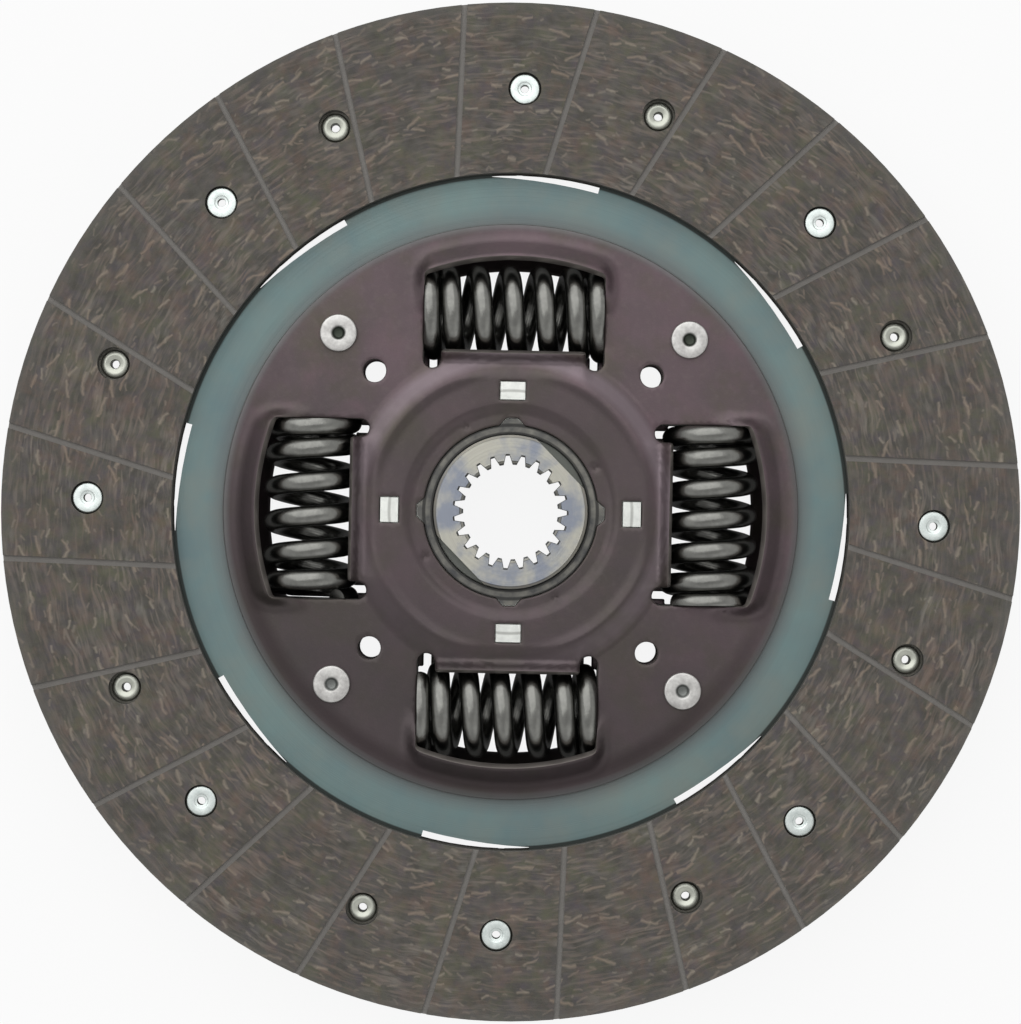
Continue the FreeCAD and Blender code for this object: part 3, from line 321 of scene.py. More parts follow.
def make_lines_group():
    """Fine lines round the axis, as a lathe or a grinding belt leaves them."""
    group, tree, starts, ends = new_group(
        "turning lines", {"Radius": 0.0, "Angle": 0.0, "Pitch": 0.3}, {"Value": "Float"})
    step = tree.math("DIVIDE", starts["Radius"], starts["Pitch"])
    slow = tree.times(tree.math("SINE", starts["Angle"]), 0.8)
    inputs = {"Vector": tree.joined(step, slow), "Scale": 1.0, "Detail": 2.0}
    tree.put(tree.ramp(tree.add("ShaderNodeTexNoise", inputs).outputs[0], 0.3, 0.7), ends["Value"])
    return group


GROUPS = {
    "place": make_place_group(),
    "clouds": make_clouds_group(),
    "fibres": make_fibre_group(),
    "strands": make_strand_group(),
    "lines": make_lines_group(),
}
print("groups", sorted(group.name for group in GROUPS.values()))

# %% [markdown]
# ## Materials
#
# A material starts as a Principled shader, a place on the disc and nothing else. Numbers that are the same
# all over, such as a plain metallic value, are set on the shader's own sockets. What changes over the
# surface is linked: a base colour with more colours laid over it, each by its own mask, and a fine bump.

# %% A new material


class Finish(Tree):
    """A material's tree, with its Principled shader and the shared groups at hand."""

    def __init__(self, name, metallic=0.0, roughness=0.5, specular=0.5):
        self.material = bpy.data.materials.new(name)
        self.material.use_nodes = True
        super().__init__(self.material.node_tree)
        self.shader = self.tree.nodes["Principled BSDF"].inputs
        self.shader["Metallic"].default_value = metallic
        self.shader["Roughness"].default_value = roughness
        self.shader["Specular IOR Level"].default_value = specular
        self.place, self.radius, self.angle, self.height = self.group("place")

    def group(self, name, inputs=None):
        """The outputs of one of the shared groups, placed here with its own values."""
        return self.add("ShaderNodeGroup", inputs, node_tree=GROUPS[name]).outputs

    def clouds(self, size, seed=0.0):
        return self.group("clouds", {"Place": self.place, "Size": size, "Seed": seed})["Value"]

    def lines(self, pitch):
        return self.group("lines", {"Radius": self.radius, "Angle": self.angle, "Pitch": pitch})["Value"]

    def strands(self, turns, width, seed):
        return self.group("strands", {
            "Place": self.place, "Radius": self.radius, "Angle": self.angle, "Turns": turns, "Width": width,
            "Sway": 2.6, "Seed": seed})["Value"]

    def start(self, share, first, second):
        """The base colour, between two by a share."""
        self.base = self.blend(share, colour(*first), colour(*second))

    def coat(self, share, *levels):
        """One more colour over the base, by a share."""
        self.base = self.blend(share, self.base, colour(*levels))

    def done(self, height, depth):
        """The material, with its base colour and a bump whose depth is in millimetres."""
        self.put(self.base, self.shader["Base Color"])
        bump = self.add("ShaderNodeBump", {"Height": height, "Distance": depth * MM, "Strength": 1.0})
        self.put(bump.outputs[0], self.shader["Normal"])
        return self.material


# %% [markdown]
# ## Friction lining
#
# The lining is short glass, copper and cotton fibre in a dark resin, pressed to a ring and ground flat. At
# arm's length it is a mottled grey, in places reddish, olive or violet, with pale soft dashes that follow the
# ring, because the yarn is wound before it is pressed. Noise stretched along the circle gives the long soft
# strands, and two layers of the fibre group give the short crisp ones. The grooves were never ground, so
# their floors are greyer and plainer. The walls of the rivet holes and the lining's sides are painted a
# plain darker grey as shade, and a painted highlight lightens the rounded outer rim.

# %% Friction lining
GROOVE_DEPTH = 0.6
# Size, seed and colour of each sort of blotch.
BLOTCHES = ((4.2, 27.0, (118, 98, 89)), (5.5, 33.0, (102, 103, 82)), (3.4, 41.0, (90, 84, 92)))
# Turns, width, seed, lowest level, strength, and a pale and a brown colour.
STRANDS = (
    (24.0, 0.75, 4.0, 0.50, 0.65, (120, 117, 111), (112, 100, 93)),
    (13.0, 0.85, 17.0, 0.55, 0.75, (138, 131, 122), (126, 108, 98)),
    (20.0, 1.60, 31.0, 0.60, 0.65, (124, 122, 115), (108, 94, 89)),
)
# Cell, length, width, spread, seed, strength, and a pale and a brown colour.
FIBRES = (
    (2.8, 3.2, 0.75, 1.3, 37.1, 0.50, (146, 141, 129), (138, 121, 109)),
    (5.0, 6.0, 1.00, 1.1, 97.7, 0.62, (160, 154, 141), (148, 128, 112)),
)


def lining_face(finish):
    """Paints the ground face with clouds, long strands and short fibres, and returns their relief."""
    finish.start(finish.clouds(9.0), (84, 82, 77), (100, 97, 93))
    finish.coat(finish.times(finish.clouds(2.4, 3.0), 0.55), 62, 60, 53)
    for size, seed, tone in BLOTCHES:
        finish.coat(finish.ramp(finish.clouds(size, seed), 0.45, 1.0, 0.0, 0.6), *tone)
    warm = finish.clouds(7.0, 9.0)
    patches = finish.ramp(finish.clouds(11.0, 15.0), 0.1, 0.8, 0.35, 1.0)
    layers = []
    for turns, width, seed, low, strength, *tones in STRANDS:
        value = finish.ramp(finish.strands(turns, width, seed), low, 1.0, 0.0, strength)
        layers.append((finish.times(value, patches), warm, tones))
    for cell, length, width, spread, seed, strength, *tones in FIBRES:
        mask, shade = finish.group("fibres", {
            "Place": finish.place, "Cell": cell, "Length": length, "Width": width, "Spread": spread,
            "Amount": 0.45, "Seed": seed})
        tint = finish.math("MULTIPLY_ADD", shade, 0.5, finish.times(warm, 0.5))
        layers.append((finish.times(mask, strength), tint, tones))
    relief = 0.0
    for share, tint, (pale, brown) in layers:
        finish.base = finish.blend(share, finish.base, finish.blend(tint, colour(*pale), colour(*brown)))
        relief = finish.math("MAXIMUM", relief, share)
    return relief


def lining_material():
    finish = Finish("friction lining", roughness=0.85, specular=0.25)
    relief = lining_face(finish)
    # Painted highlight: the outer rim is painted lighter and greyer, where its rounded edge would catch the
    # light.
    finish.coat(finish.ramp(finish.radius, FACING_RADIUS - 3.0, FACING_RADIUS - 0.2, 0.0, 0.55), 98, 97, 93)
    depth = finish.gap(finish.height, PACK_LEVEL)
    face = FACE_LEVEL - PACK_LEVEL
    in_groove = finish.ramp(depth, face - 0.1 * GROOVE_DEPTH, face - 0.6 * GROOVE_DEPTH)
    dusty = finish.blend(finish.noise(finish.place, 2.5, seed=2.0), colour(120, 117, 113),
                         colour(136, 133, 129))
    finish.base = finish.blend(in_groove, finish.base, dusty)
    # Painted shade: the walls of the rivet holes and the lining's sides, deeper than the grooves, are painted
    # a plain darker grey.
    finish.coat(finish.ramp(depth, face - 1.2 * GROOVE_DEPTH, face - 2.2 * GROOVE_DEPTH), 84, 82, 77)
    grain = finish.noise(finish.place, 0.35, detail=2.0)
    return finish.done(finish.math("MULTIPLY_ADD", relief, 0.6, grain), 0.12)


# %% [markdown]
# ## Spring-steel plate, cover plates and hub metals
#
# The plate between the linings is hardened spring steel. Tempering leaves a blue-green film on it, uneven
# because the plate never heats evenly. The cover plates are case-hardened, and come out of the oil a
# purple-brown that is browner in places. Painted shade makes them darker low down in the view, on the rim
# there and by the hub on the upper side, and painted highlights lighten the upper slope of the dish and the
# rim. Their sheared edges are rubbed bare. The hub is turned and broached, and stays bare.

# %% Metals
SHEARED = "sheared_edge"
SLOPE_CIRCLE = 34.4


def temper_film_material():
    finish = Finish("tempered plate", metallic=0.5, roughness=0.42)
    finish.start(finish.clouds(26.0, 1.0), (90, 111, 115), (107, 129, 127))
    finish.coat(finish.times(finish.clouds(5.0, 4.0), 0.35), 112, 120, 116)
    finish.coat(finish.ramp(finish.clouds(19.0, 23.0), 0.45, 1.0, 0.0, 0.6), 118, 122, 115)
    finish.coat(finish.ramp(finish.radius, 67.5, 63.9, 0.0, 0.7), 96, 96, 96)
    # Painted shadow: a near-black ring on the plate just inside the lining's bore, where the lining's edge
    # shades it.
    finish.coat(finish.ramp(finish.radius, FACING_BORE - 1.0, FACING_BORE - 0.7, 0.0, 0.9), 30, 32, 28)
    finish.coat(finish.ramp(finish.radius, FACING_BORE, FACING_BORE + 2.0), 112, 110, 102)
    lines = finish.lines(0.22)
    finish.put(finish.ramp(lines, 0.0, 1.0, 0.38, 0.5), finish.shader["Roughness"])
    return finish.done(lines, 0.01)


def cover_material():
    """Purple-brown from the oil, bare at cuts. Painted shade low down and by the hub, painted highlights on
    slope and rim.
    """
    finish = Finish("hardened cover", metallic=0.6, roughness=0.36)
    finish.start(finish.clouds(24.0, 6.0), (92, 77, 82), (74, 66, 67))
    finish.coat(finish.ramp(finish.clouds(13.0, 8.0), 0.35, 0.95, 0.0, 0.75), 78, 73, 62)
    finish.coat(finish.ramp(finish.clouds(7.0, 16.0), 0.5, 1.0, 0.0, 0.6), 94, 76, 82)
    finish.coat(finish.ramp(finish.noise(finish.place, 1.1, seed=7.0), 0.5, 0.8, 0.0, 0.25), 104, 94, 92)
    x, y, _ = finish.parts(finish.place)
    up = finish.math("MULTIPLY_ADD", x, 0.35, y)
    # Painted shade: the whole sheet is darker low down in the view, away from the key lamp.
    finish.coat(finish.ramp(up, 25.0, -45.0, 0.0, 0.6), 49, 46, 45)
    # Painted shade: the rim is darker and redder low down in the view.
    ring = finish.ramp(finish.gap(finish.radius, COVER_RADIUS - 3.2), 3.0, 0.5, 0.0, 0.7)
    finish.coat(finish.times(ring, finish.ramp(up, 20.0, -40.0)), 44, 34, 36)
    # Painted shade: near the hub the sheet is painted darker on the upper side of the view.
    hub_side = finish.ramp(finish.radius, 32.2, 30.6, 0.0, 0.5)
    finish.coat(finish.times(hub_side, finish.ramp(up, -25.0, 25.0)), 60, 55, 53)
    # Painted highlight: the slope of the dish is painted lighter on its upper side, which faces the lamp.
    slope = finish.ramp(finish.gap(finish.radius, SLOPE_CIRCLE), 2.4, 0.8, 0.0, 0.6)
    finish.coat(finish.times(slope, finish.ramp(up, -40.0, 20.0)), 122, 110, 116)
    # Painted highlight: a lighter grey band along the rim, where the rounded edge would catch the light.
    finish.coat(finish.ramp(finish.radius, COVER_RADIUS - 1.7, COVER_RADIUS, 0.0, 0.85), 88, 90, 90)
    finish.coat(finish.add("ShaderNodeAttribute", attribute_name=SHEARED).outputs["Fac"], 118, 112, 108)
    finish.put(finish.ramp(finish.clouds(3.0, 2.0), 0.0, 1.0, 0.30, 0.44), finish.shader["Roughness"])
    return finish.done(finish.noise(finish.place, 0.5, detail=2.0), 0.02)


def hub_material():
    """Bare steel, cream where turned and bluer where oil dried. Painted shade on the low shelf, painted
    highlight on the chamfer.
    """
    finish = Finish("machined hub", metallic=1.0, roughness=0.36)
    lines = finish.lines(0.18)
    finish.start(finish.ramp(finish.clouds(9.0, 5.0), 0.3, 0.7), (126, 131, 142), (166, 164, 154))
    finish.coat(finish.times(lines, 0.22), 116, 118, 118)
    # Painted shade: the boss's low shelf, 2 to 3.5 mm below the top, is painted darker.
    finish.coat(finish.ramp(finish.height, HUB_TOP - 2.0, HUB_TOP - 3.5), 92, 94, 90)
    # Painted highlight: a bright cream line on the top chamfer.
    corner = finish.ramp(finish.gap(finish.height, HUB_TOP - 0.35), 0.3, 0.1)
    finish.coat(finish.times(corner, 0.7), 205, 203, 190)
    return finish.done(lines, 0.01)


def rivet_material():
    """Zinc on the head, and an olive tone where the clenched end has stretched it."""
    finish = Finish("zinc-plated rivet", metallic=1.0, roughness=0.35)
    finish.start(finish.clouds(1.2, 12.0), (190, 199, 196), (216, 222, 219))
    finish.coat(finish.ramp(finish.gap(finish.height, PACK_LEVEL), 1.8, 1.4), 176, 178, 168)
    return finish.done(finish.noise(finish.place, 0.4, detail=2.0), 0.015)


def pin_material():
    """A pin's head is bright. The dimple that the riveting tool leaves is painted dark as shade, more on the
    upper pins.
    """
    finish = Finish("riveted pin", metallic=1.0, roughness=0.4)
    x, y, _ = finish.parts(finish.place)
    away = [finish.minus(finish.math("ABSOLUTE", part), PIN_CIRCLE / math.sqrt(2)) for part in (x, y)]
    square = finish.plus(*(finish.times(part, part) for part in away))
    finish.start(finish.clouds(1.4, 12.0), (158, 156, 154), (196, 195, 192))
    # Painted shade: the dimple is painted dark, darker on the upper pins.
    dimple_shade = finish.blend(finish.ramp(y, -10.0, 10.0), colour(104, 106, 104), colour(56, 60, 54))
    dimple = finish.ramp(finish.math("SQRT", square), 1.75, 1.25)
    finish.base = finish.blend(dimple, finish.base, dimple_shade)
    return finish.done(finish.noise(finish.place, 0.4, detail=2.0), 0.02)


def strip_material():
    """Bright strip steel. Each tab has a painted shadow line along its middle, where its end meets the bend.
    """
    finish = Finish("bright strip", metallic=1.0, roughness=0.34)
    finish.start(finish.clouds(2.4, 12.0), (192, 194, 190), (214, 216, 211))
    # Painted shadow: a darker line along the middle of each tab, where its end meets the bend.
    finish.coat(finish.ramp(finish.gap(finish.radius, TAB_CIRCLE), 0.45, 0.15, 0.0, 0.6), 128, 128, 124)
    return finish.done(finish.noise(finish.place, 0.4, detail=2.0), 0.015)


def spring_material():
    """Shot-peened wire: dull, with soft darker spots from handling."""
    finish = Finish("spring wire", metallic=1.0, roughness=0.27)
    finish.start(finish.clouds(1.8, 14.0), (104, 104, 101), (123, 123, 119))
    return finish.done(finish.noise(finish.place, 0.45, detail=2.0), 0.02)


def resin_material():
    """The bushes and the friction washers: dark moulded resin, with painted shadow lines at the bush's edges.
    """
    finish = Finish("moulded resin", roughness=0.5, specular=0.4)
    finish.start(finish.ramp(finish.clouds(3.4, 21.0), 0.1, 0.9), (64, 65, 66), (126, 124, 116))
    # Painted shadow: dark lines at the bush's bore and at the cover's bore, where the gaps to hub and cover
    # are shaded.
    for edge in (BUSH_BORE + 0.3, BORE_RADIUS - 0.1):
        finish.coat(finish.ramp(finish.gap(finish.radius, edge), 0.5, 0.25, 0.0, 0.9), 18, 18, 16)
    return finish.done(finish.noise(finish.place, 0.5), 0.03)


MATERIALS = {
    "friction_lining": lining_material(),
    "rivet_steel": rivet_material(),
    "blued_steel": temper_film_material(),
    "phosphated_steel": cover_material(),
    "machined_hub": hub_material(),
    "spring_steel": spring_material(),
    "pin_steel": pin_material(),
    "plated_steel": strip_material(),
    "resin": resin_material(),
}
for entry in frame["record"]["subparts"]:
    mesh = frame["nodes"][entry["node"]].data
    mesh.materials.clear()
    mesh.materials.append(MATERIALS[entry["material_slot"]])
print("materials", len(MATERIALS))

# %% [markdown]
# ## Cover plates from a drawn sheet
#
# A cover plate is blanked from 2 mm sheet and drawn: it rises in soft steps round the hub, and its lips
# stand up beside the spring windows. The bends are what catches the light, and sharp CAD corners don't. So
# the sheet is built as a blank first, a flat outline filled with small triangles, and then every point is
# lifted by a formula for the drawing. The same two steps make both plates.

# %% Outlines of the blank
WINDOW_HALF = 20.0
WINDOW_INNER = 35.0
WINDOW_OUTER = 56.5
REAR_WINDOW_INNER = 35.0
REAR_WINDOW_OUTER = 54.4
EAR_INNER = 31.6
EAR_WIDTH = 4.0
REAR_EAR_WIDTH = 1.7
NOTCH_OUTER = 20.8
NOTCH_TIP_HALF = 1.3
NOTCH_ROOT_HALF = 2.8
PIN_HOLE = 3.05
GUIDE_CIRCLE = 43.4
GUIDE_HOLE = 2.55
TAB_WINDOW = (4.3, 5.8)
LIP_HALF = WINDOW_HALF - EAR_WIDTH
EDGE_STEP = 0.8


def arc(centre, radius, start, end, step=EDGE_STEP):
    """Points on an arc, from one angle in degrees to another."""
    count = max(3, round(abs(math.radians(end - start)) * radius / step))
    angles = np.radians(np.linspace(start, end, count + 1))
    return [(centre[0] + radius * math.cos(a), centre[1] + radius * math.sin(a)) for a in angles]


def closed_run(corners):
    """The corners of a closed outline, with points added along its long sides."""
    points = []
    for start, end in zip(corners, corners[1:] + corners[:1]):
        start, end = np.array(start), np.array(end)
        count = max(1, round(float(np.linalg.norm(end - start)) / EDGE_STEP))
        points += [tuple(start + (end - start) * k / count) for k in range(count)]
    return points


def turned(points, angle):
    """Points turned round the axis."""
    c, s = math.cos(angle), math.sin(angle)
    return [(x * c - y * s, x * s + y * c) for x, y in points]


def soft_corner(before, corner, after, steps=4):
    """A rounded corner, from a point before it to a point after it."""
    before, corner, after = (np.array(point) for point in (before, corner, after))
    return [tuple(before * (1 - t) ** 2 + 2 * corner * t * (1 - t) + after * t ** 2)
            for t in np.linspace(0, 1, steps + 1)]


def window_outline(inner, outer, ear_width):
    """A spring window: straight inside between its two ears, and an arc outside. It lies on +X."""
    ear_radius = ear_width / 2
    ear_middle = WINDOW_HALF - EAR_WIDTH / 2
    ear_centre = (EAR_INNER + ear_radius, ear_middle)
    corner = math.sqrt(outer ** 2 - WINDOW_HALF ** 2)
    tilt = math.degrees(math.atan2(WINDOW_HALF, corner))
    past = math.radians(tilt - 1.2)
    side = ear_middle - ear_radius
    half = soft_corner((inner, side - 0.5), (inner, side), (max(inner - 0.5, ear_centre[0] + 0.04), side))
    half += arc(ear_centre, ear_radius, 270, 90, 0.5)
    if ear_width < EAR_WIDTH:
        half += [(inner, ear_middle + ear_radius), (inner, WINDOW_HALF)]
    half += soft_corner((corner - 1.0, WINDOW_HALF), (corner, WINDOW_HALF),
                        (outer * math.cos(past), outer * math.sin(past)))
    half += arc((0, 0), outer, tilt - 2.0, 0)
    mirrored = [(x, -y) for x, y in reversed(half[:-1])]
    return closed_run(half + mirrored)


def bore_outline():
    """The bore, with a tapered notch for each lug of the bush."""
    meet = math.degrees(math.atan2(NOTCH_ROOT_HALF, math.sqrt(BORE_RADIUS ** 2 - NOTCH_ROOT_HALF ** 2)))
    points = []
    for angle in DAMPER_ANGLES:
        notch = [(NOTCH_OUTER, -NOTCH_TIP_HALF), (NOTCH_OUTER, NOTCH_TIP_HALF)]
        quarter = arc((0, 0), BORE_RADIUS, meet, 90 - meet)
        points += turned(notch + quarter, angle)
    return closed_run(points)


def tab_outline():
    """The small window for one tab of the thrust plate. It lies on +X."""
    deep, wide = TAB_WINDOW[0] / 2, TAB_WINDOW[1] / 2
    corners = [(-deep, -wide), (deep, -wide), (deep, wide), (-deep, wide)]
    return closed_run([(TAB_CIRCLE + x, y) for x, y in corners])


def cover_holes(inner, outer, ear_width, with_tabs):
    """All the openings of a cover plate, as closed outlines.

    A round outline's arc stops a little short of 360 degrees, because the outline closes itself.
    """
    holes = []
    for angle in DAMPER_ANGLES:
        holes.append(turned(window_outline(inner, outer, ear_width), angle))
        if with_tabs:
            holes.append(turned(tab_outline(), angle))
    for angle in BETWEEN_ANGLES:
        for circle, radius in ((PIN_CIRCLE, PIN_HOLE), (GUIDE_CIRCLE, GUIDE_HOLE)):
            holes.append(turned([(circle + x, y) for x, y in arc((0, 0), radius, 0, 345, 0.6)], angle))
    return holes


print("window outline", len(window_outline(WINDOW_INNER, WINDOW_OUTER, EAR_WIDTH)), "points")

# %% [markdown]
# A constrained Delaunay mesh fills the outline: it keeps every edge of the outline and makes even triangles
# between them. The points inside lie on rings, because the bends are rings too. Triangles that fall in a
# hole are dropped, and the sheet gets its underside and its sheared walls. A narrow bevel then rounds the
# sheared edges.

# %% Fill, lift and thicken
SHEARED_ROUNDING = 0.3
SHEARED_ANGLE = 50


def inside(points, outline):
    """Which points lie inside a closed outline, by counting crossings."""
    x, y = points[:, 0], points[:, 1]
    hit = np.zeros(len(points), bool)
    corners = np.array(outline)
    for (x1, y1), (x2, y2) in zip(corners, np.roll(corners, -1, axis=0)):
        crosses = (y1 > y) != (y2 > y)
        with np.errstate(divide="ignore", invalid="ignore"):
            hit ^= crosses & (x < (x2 - x1) * (y - y1) / (y2 - y1) + x1)
    return hit


def clear_of(points, openings):
    """Which points lie in none of the openings."""
    return ~np.any([inside(points, opening) for opening in openings], axis=0)


def ring_points(inner, outer, radial=0.75, along=1.05):
    """Points on evenly spaced rings, each ring turned a little against the next."""
    points = []
    for k, radius in enumerate(np.arange(inner, outer, radial)):
        count = round(2 * math.pi * radius / along)
        angles = 2 * math.pi * (np.arange(count) + 0.5 * (k % 2)) / count
        points.append(np.stack([radius * np.cos(angles), radius * np.sin(angles)], axis=1))
    return np.concatenate(points)


def fill_outline(rim, bore, holes, extra):
    """Vertices and triangles of a flat blank."""
    loops = [rim, bore] + holes
    edge_points = np.array([point for loop in loops for point in loop])
    margin = 0.5
    inner = min(math.hypot(*point) for point in bore) + margin
    outer = math.hypot(*rim[0]) - margin
    rings = np.concatenate([ring_points(inner, outer), extra])
    rings = rings[clear_of(rings, loops[1:])]
    near = np.array([np.min(np.sum((edge_points - point) ** 2, axis=1)) for point in rings])
    rings = rings[near > margin ** 2]
    points = np.concatenate([edge_points, rings])
    edges, start = [], 0
    for loop in loops:
        count = len(loop)
        edges += [(start + k, start + (k + 1) % count) for k in range(count)]
        start += count
    found, _, triangles, *_ = delaunay_2d_cdt([Vector(p) for p in points], edges, [], 0, 1e-5)
    vertices = np.array([tuple(v) for v in found])
    triangles = np.array(triangles)
    middles = vertices[triangles].mean(axis=1)
    return vertices, triangles[inside(middles, rim) & clear_of(middles, loops[1:])]


def thick_sheet(name, vertices, triangles, low, high, shift=0.0):
    """A closed sheet between two surfaces over the same blank. Heights are in millimetres.

    The shift moves the underside sideways, as a bend does, so that a bent edge shows its sheared face.
    """
    count = len(vertices)
    top = np.column_stack([vertices, high])
    bottom = np.column_stack([vertices + shift, low])
    faces = [tuple(t) for t in triangles] + [tuple(t[::-1] + count) for t in triangles]
    sides = dict.fromkeys(edge for a, b, c in triangles for edge in ((a, b), (b, c), (c, a)))
    faces += [(a + count, b + count, b, a) for a, b in sides if (b, a) not in sides]
    mesh = bpy.data.meshes.new(name)
    mesh.from_pydata((np.concatenate([top, bottom]) * MM).tolist(), [], [tuple(map(int, f)) for f in faces])
    sheared = mesh.attributes.new(SHEARED, "FLOAT", "FACE")
    sheared.data.foreach_set("value", [float(len(face) == 4) for face in faces])
    mesh.validate()
    return mesh


def baked(thing, sharp_angle):
    """The object with its modifiers turned into a plain mesh, smooth up to an angle in degrees."""
    mesh = bpy.data.meshes.new_from_object(thing.evaluated_get(bpy.context.evaluated_depsgraph_get()))
    thing.modifiers.clear()
    thing.data = mesh
    mesh.shade_smooth()
    mesh.set_sharp_from_angle(angle=math.radians(sharp_angle))
    return thing


def soft_edges(mesh, name):
    """The mesh as an object, with its sheared edges rounded and smooth shading elsewhere."""
    thing = new_object(name, mesh)
    bevel = thing.modifiers.new("rounded edges", "BEVEL")
    bevel.width = SHEARED_ROUNDING * MM
    bevel.segments = 2
    bevel.limit_method = "ANGLE"
    bevel.angle_limit = math.radians(SHEARED_ANGLE)
    bevel.use_clamp_overlap = False
    return baked(thing, SHEARED_ANGLE)


# %% [markdown]
# ## How the sheet is drawn
#
# Each height below is a sum of soft steps. A lip is a ramp that starts softly at its root and is steepest at
# the window, and it fades out sideways past the window's corners. In front of a window the lip nearer the hub
# takes the crest's place: it rises from the plateau, which is why its side is dark when the light comes from
# behind the window.

# %% Heights of the drawn sheets
COLLAR = (22.1, 1.3)
PLATEAU = (23.8, 29.8, 2.1)
CREST = (31.4, 31.6, 2.6)
DISH_RADIUS = 36.9
LIP_ROOT = 61.5
LIP_RISE = 3.6
INNER_LIP_START = 32.9
INNER_LIP_TOP = 34.9
INNER_LIP_DIP = 0.9
INNER_LIP_RISE = 3.6
REAR_LIP_ROOT = 60.9
REAR_LIP_RISE = 5.3
NICK_CIRCLE = 21.3
NICK_ANGLE = 28.7
NICK_DEPTH = 0.5
SHEET_THICKNESS = 2.0
OUTER_LIP_SHIFT = 1.0
INNER_LIP_SHIFT = 0.8
# How far inside and outside a window's corner each lip's sideways fade starts and ends.
LIP_FADE = (1.5, 3.0)
REAR_LIP_FADE = (1.0, 2.5)
INNER_LIP_FADE = (1.0, 1.6)
NICK_RADII = (0.2, 0.9)
NICKS = [(NICK_CIRCLE * math.cos(angle), NICK_CIRCLE * math.sin(angle))
         for angle in (start + math.radians(NICK_ANGLE) for start in DAMPER_ANGLES)]


def soft_step(value, low, high):
    """From 0 to 1 with a soft start and a soft end."""
    t = np.clip((value - low) / (high - low), 0, 1)
    return t * t * (3 - 2 * t)


def soft_ramp(value, low, high, start=0.35):
    """From 0 to 1 with a soft start and a straight rest."""
    t = np.clip((value - low) / (high - low), 0, 1)
    bend = np.where(t < start, t * t / (2 * start), t - start / 2)
    return bend / (1 - start / 2)


def window_frame(points, angle):
    """Distance outwards and sideways, seen from one spring window, and which points are near it."""
    c, s = math.cos(angle), math.sin(angle)
    out, side = points[:, 0] * c + points[:, 1] * s, np.abs(points[:, 1] * c - points[:, 0] * s)
    return out, side, (out > 0) & (side < 1.2 * WINDOW_HALF)


def outer_lip(radius, side, root, window, fade):
    """A lip outside a spring window, from 0 at its root to 1 at the window. It fades out sideways."""
    lip = soft_ramp(root - radius, 0, root - window)
    lip *= 1 - soft_step(side, WINDOW_HALF - fade[0], WINDOW_HALF + fade[1])
    return lip * soft_step(radius, window - 8.0, window - 1.0)


def front_heights(points):
    """How far the front cover rises above its flat rim, and how its underside shifts in the lips."""
    radius = np.hypot(*points.T)
    shift = np.zeros_like(points)
    height = COLLAR[1] + (PLATEAU[2] - COLLAR[1]) * soft_step(radius, COLLAR[0], PLATEAU[0])
    height += (CREST[2] - PLATEAU[2]) * soft_step(radius, PLATEAU[1], CREST[0])
    height -= CREST[2] * soft_ramp(radius, CREST[1], DISH_RADIUS, 0.2)
    for angle in DAMPER_ANGLES:
        out, side, here = window_frame(points, angle)
        outer = outer_lip(radius, side, LIP_ROOT, WINDOW_OUTER, LIP_FADE)
        height += np.where(here, LIP_RISE * outer, 0)
        shift -= points / radius[:, None] * (OUTER_LIP_SHIFT * outer * here)[:, None]
        lip = PLATEAU[2] * soft_step(radius, COLLAR[0], PLATEAU[0])
        lip = np.maximum(lip, COLLAR[1]) - INNER_LIP_DIP * soft_step(out, EAR_INNER - 2.0, INNER_LIP_START)
        climb = INNER_LIP_RISE - PLATEAU[2] + INNER_LIP_DIP
        lip += climb * soft_ramp(out, INNER_LIP_START, INNER_LIP_TOP, 0.15)
        share = soft_step(out, EAR_INNER - 4.0, EAR_INNER) * (out < WINDOW_INNER + 1)
        share *= 1 - soft_step(side, LIP_HALF - INNER_LIP_FADE[0], LIP_HALF + INNER_LIP_FADE[1])
        height += np.where(here, (lip - height) * share, 0)
        bent = INNER_LIP_SHIFT * share * soft_step(out, INNER_LIP_START, INNER_LIP_TOP) * here
        shift += np.outer(bent, (math.cos(angle), math.sin(angle)))
    for nick in NICKS:
        height -= NICK_DEPTH * (1 - soft_step(np.hypot(*(points - nick).T), *NICK_RADII))
    return height, shift


def rear_depths(points):
    """How far the rear cover's lips stand down from the plate."""
    radius = np.hypot(*points.T)
    depth = np.zeros(len(points))
    for angle in DAMPER_ANGLES:
        _, side, here = window_frame(points, angle)
        lip = outer_lip(radius, side, REAR_LIP_ROOT, REAR_WINDOW_OUTER, REAR_LIP_FADE)
        depth += np.where(here, REAR_LIP_RISE * lip, 0)
    return depth


def nick_points():
    """A few more points where the nicks are, so that the blank can follow them."""
    spots = []
    for nick in NICKS:
        spots += [nick] + arc(nick, 0.35, 0, 300, 0.4) + arc(nick, 0.7, 0, 300, 0.4)
    return np.array(spots)


def make_front_cover():
    """The front cover: lips up at its windows, a dish round the hub, and nicks beside the bore."""
    rim = arc((0, 0), COVER_RADIUS, 0, 359, 1.0)
    holes = cover_holes(WINDOW_INNER, WINDOW_OUTER, EAR_WIDTH, True)
    vertices, triangles = fill_outline(rim, bore_outline(), holes, nick_points())
    heights, shift = front_heights(vertices)
    high = cover_low.z + SHEET_THICKNESS + heights
    mesh = thick_sheet("cover_front_sheet", vertices, triangles, high - SHEET_THICKNESS, high, shift)
    return soft_edges(mesh, "cover_front_sheet")


front_cover = make_front_cover()
print("front cover", len(front_cover.data.polygons), "faces")

# %% [markdown]
# The rear cover comes from the same steps. It has no windows for tabs and a plain bore, its ears are
# narrower, and its lips stand down instead of up.

# %% Rear cover


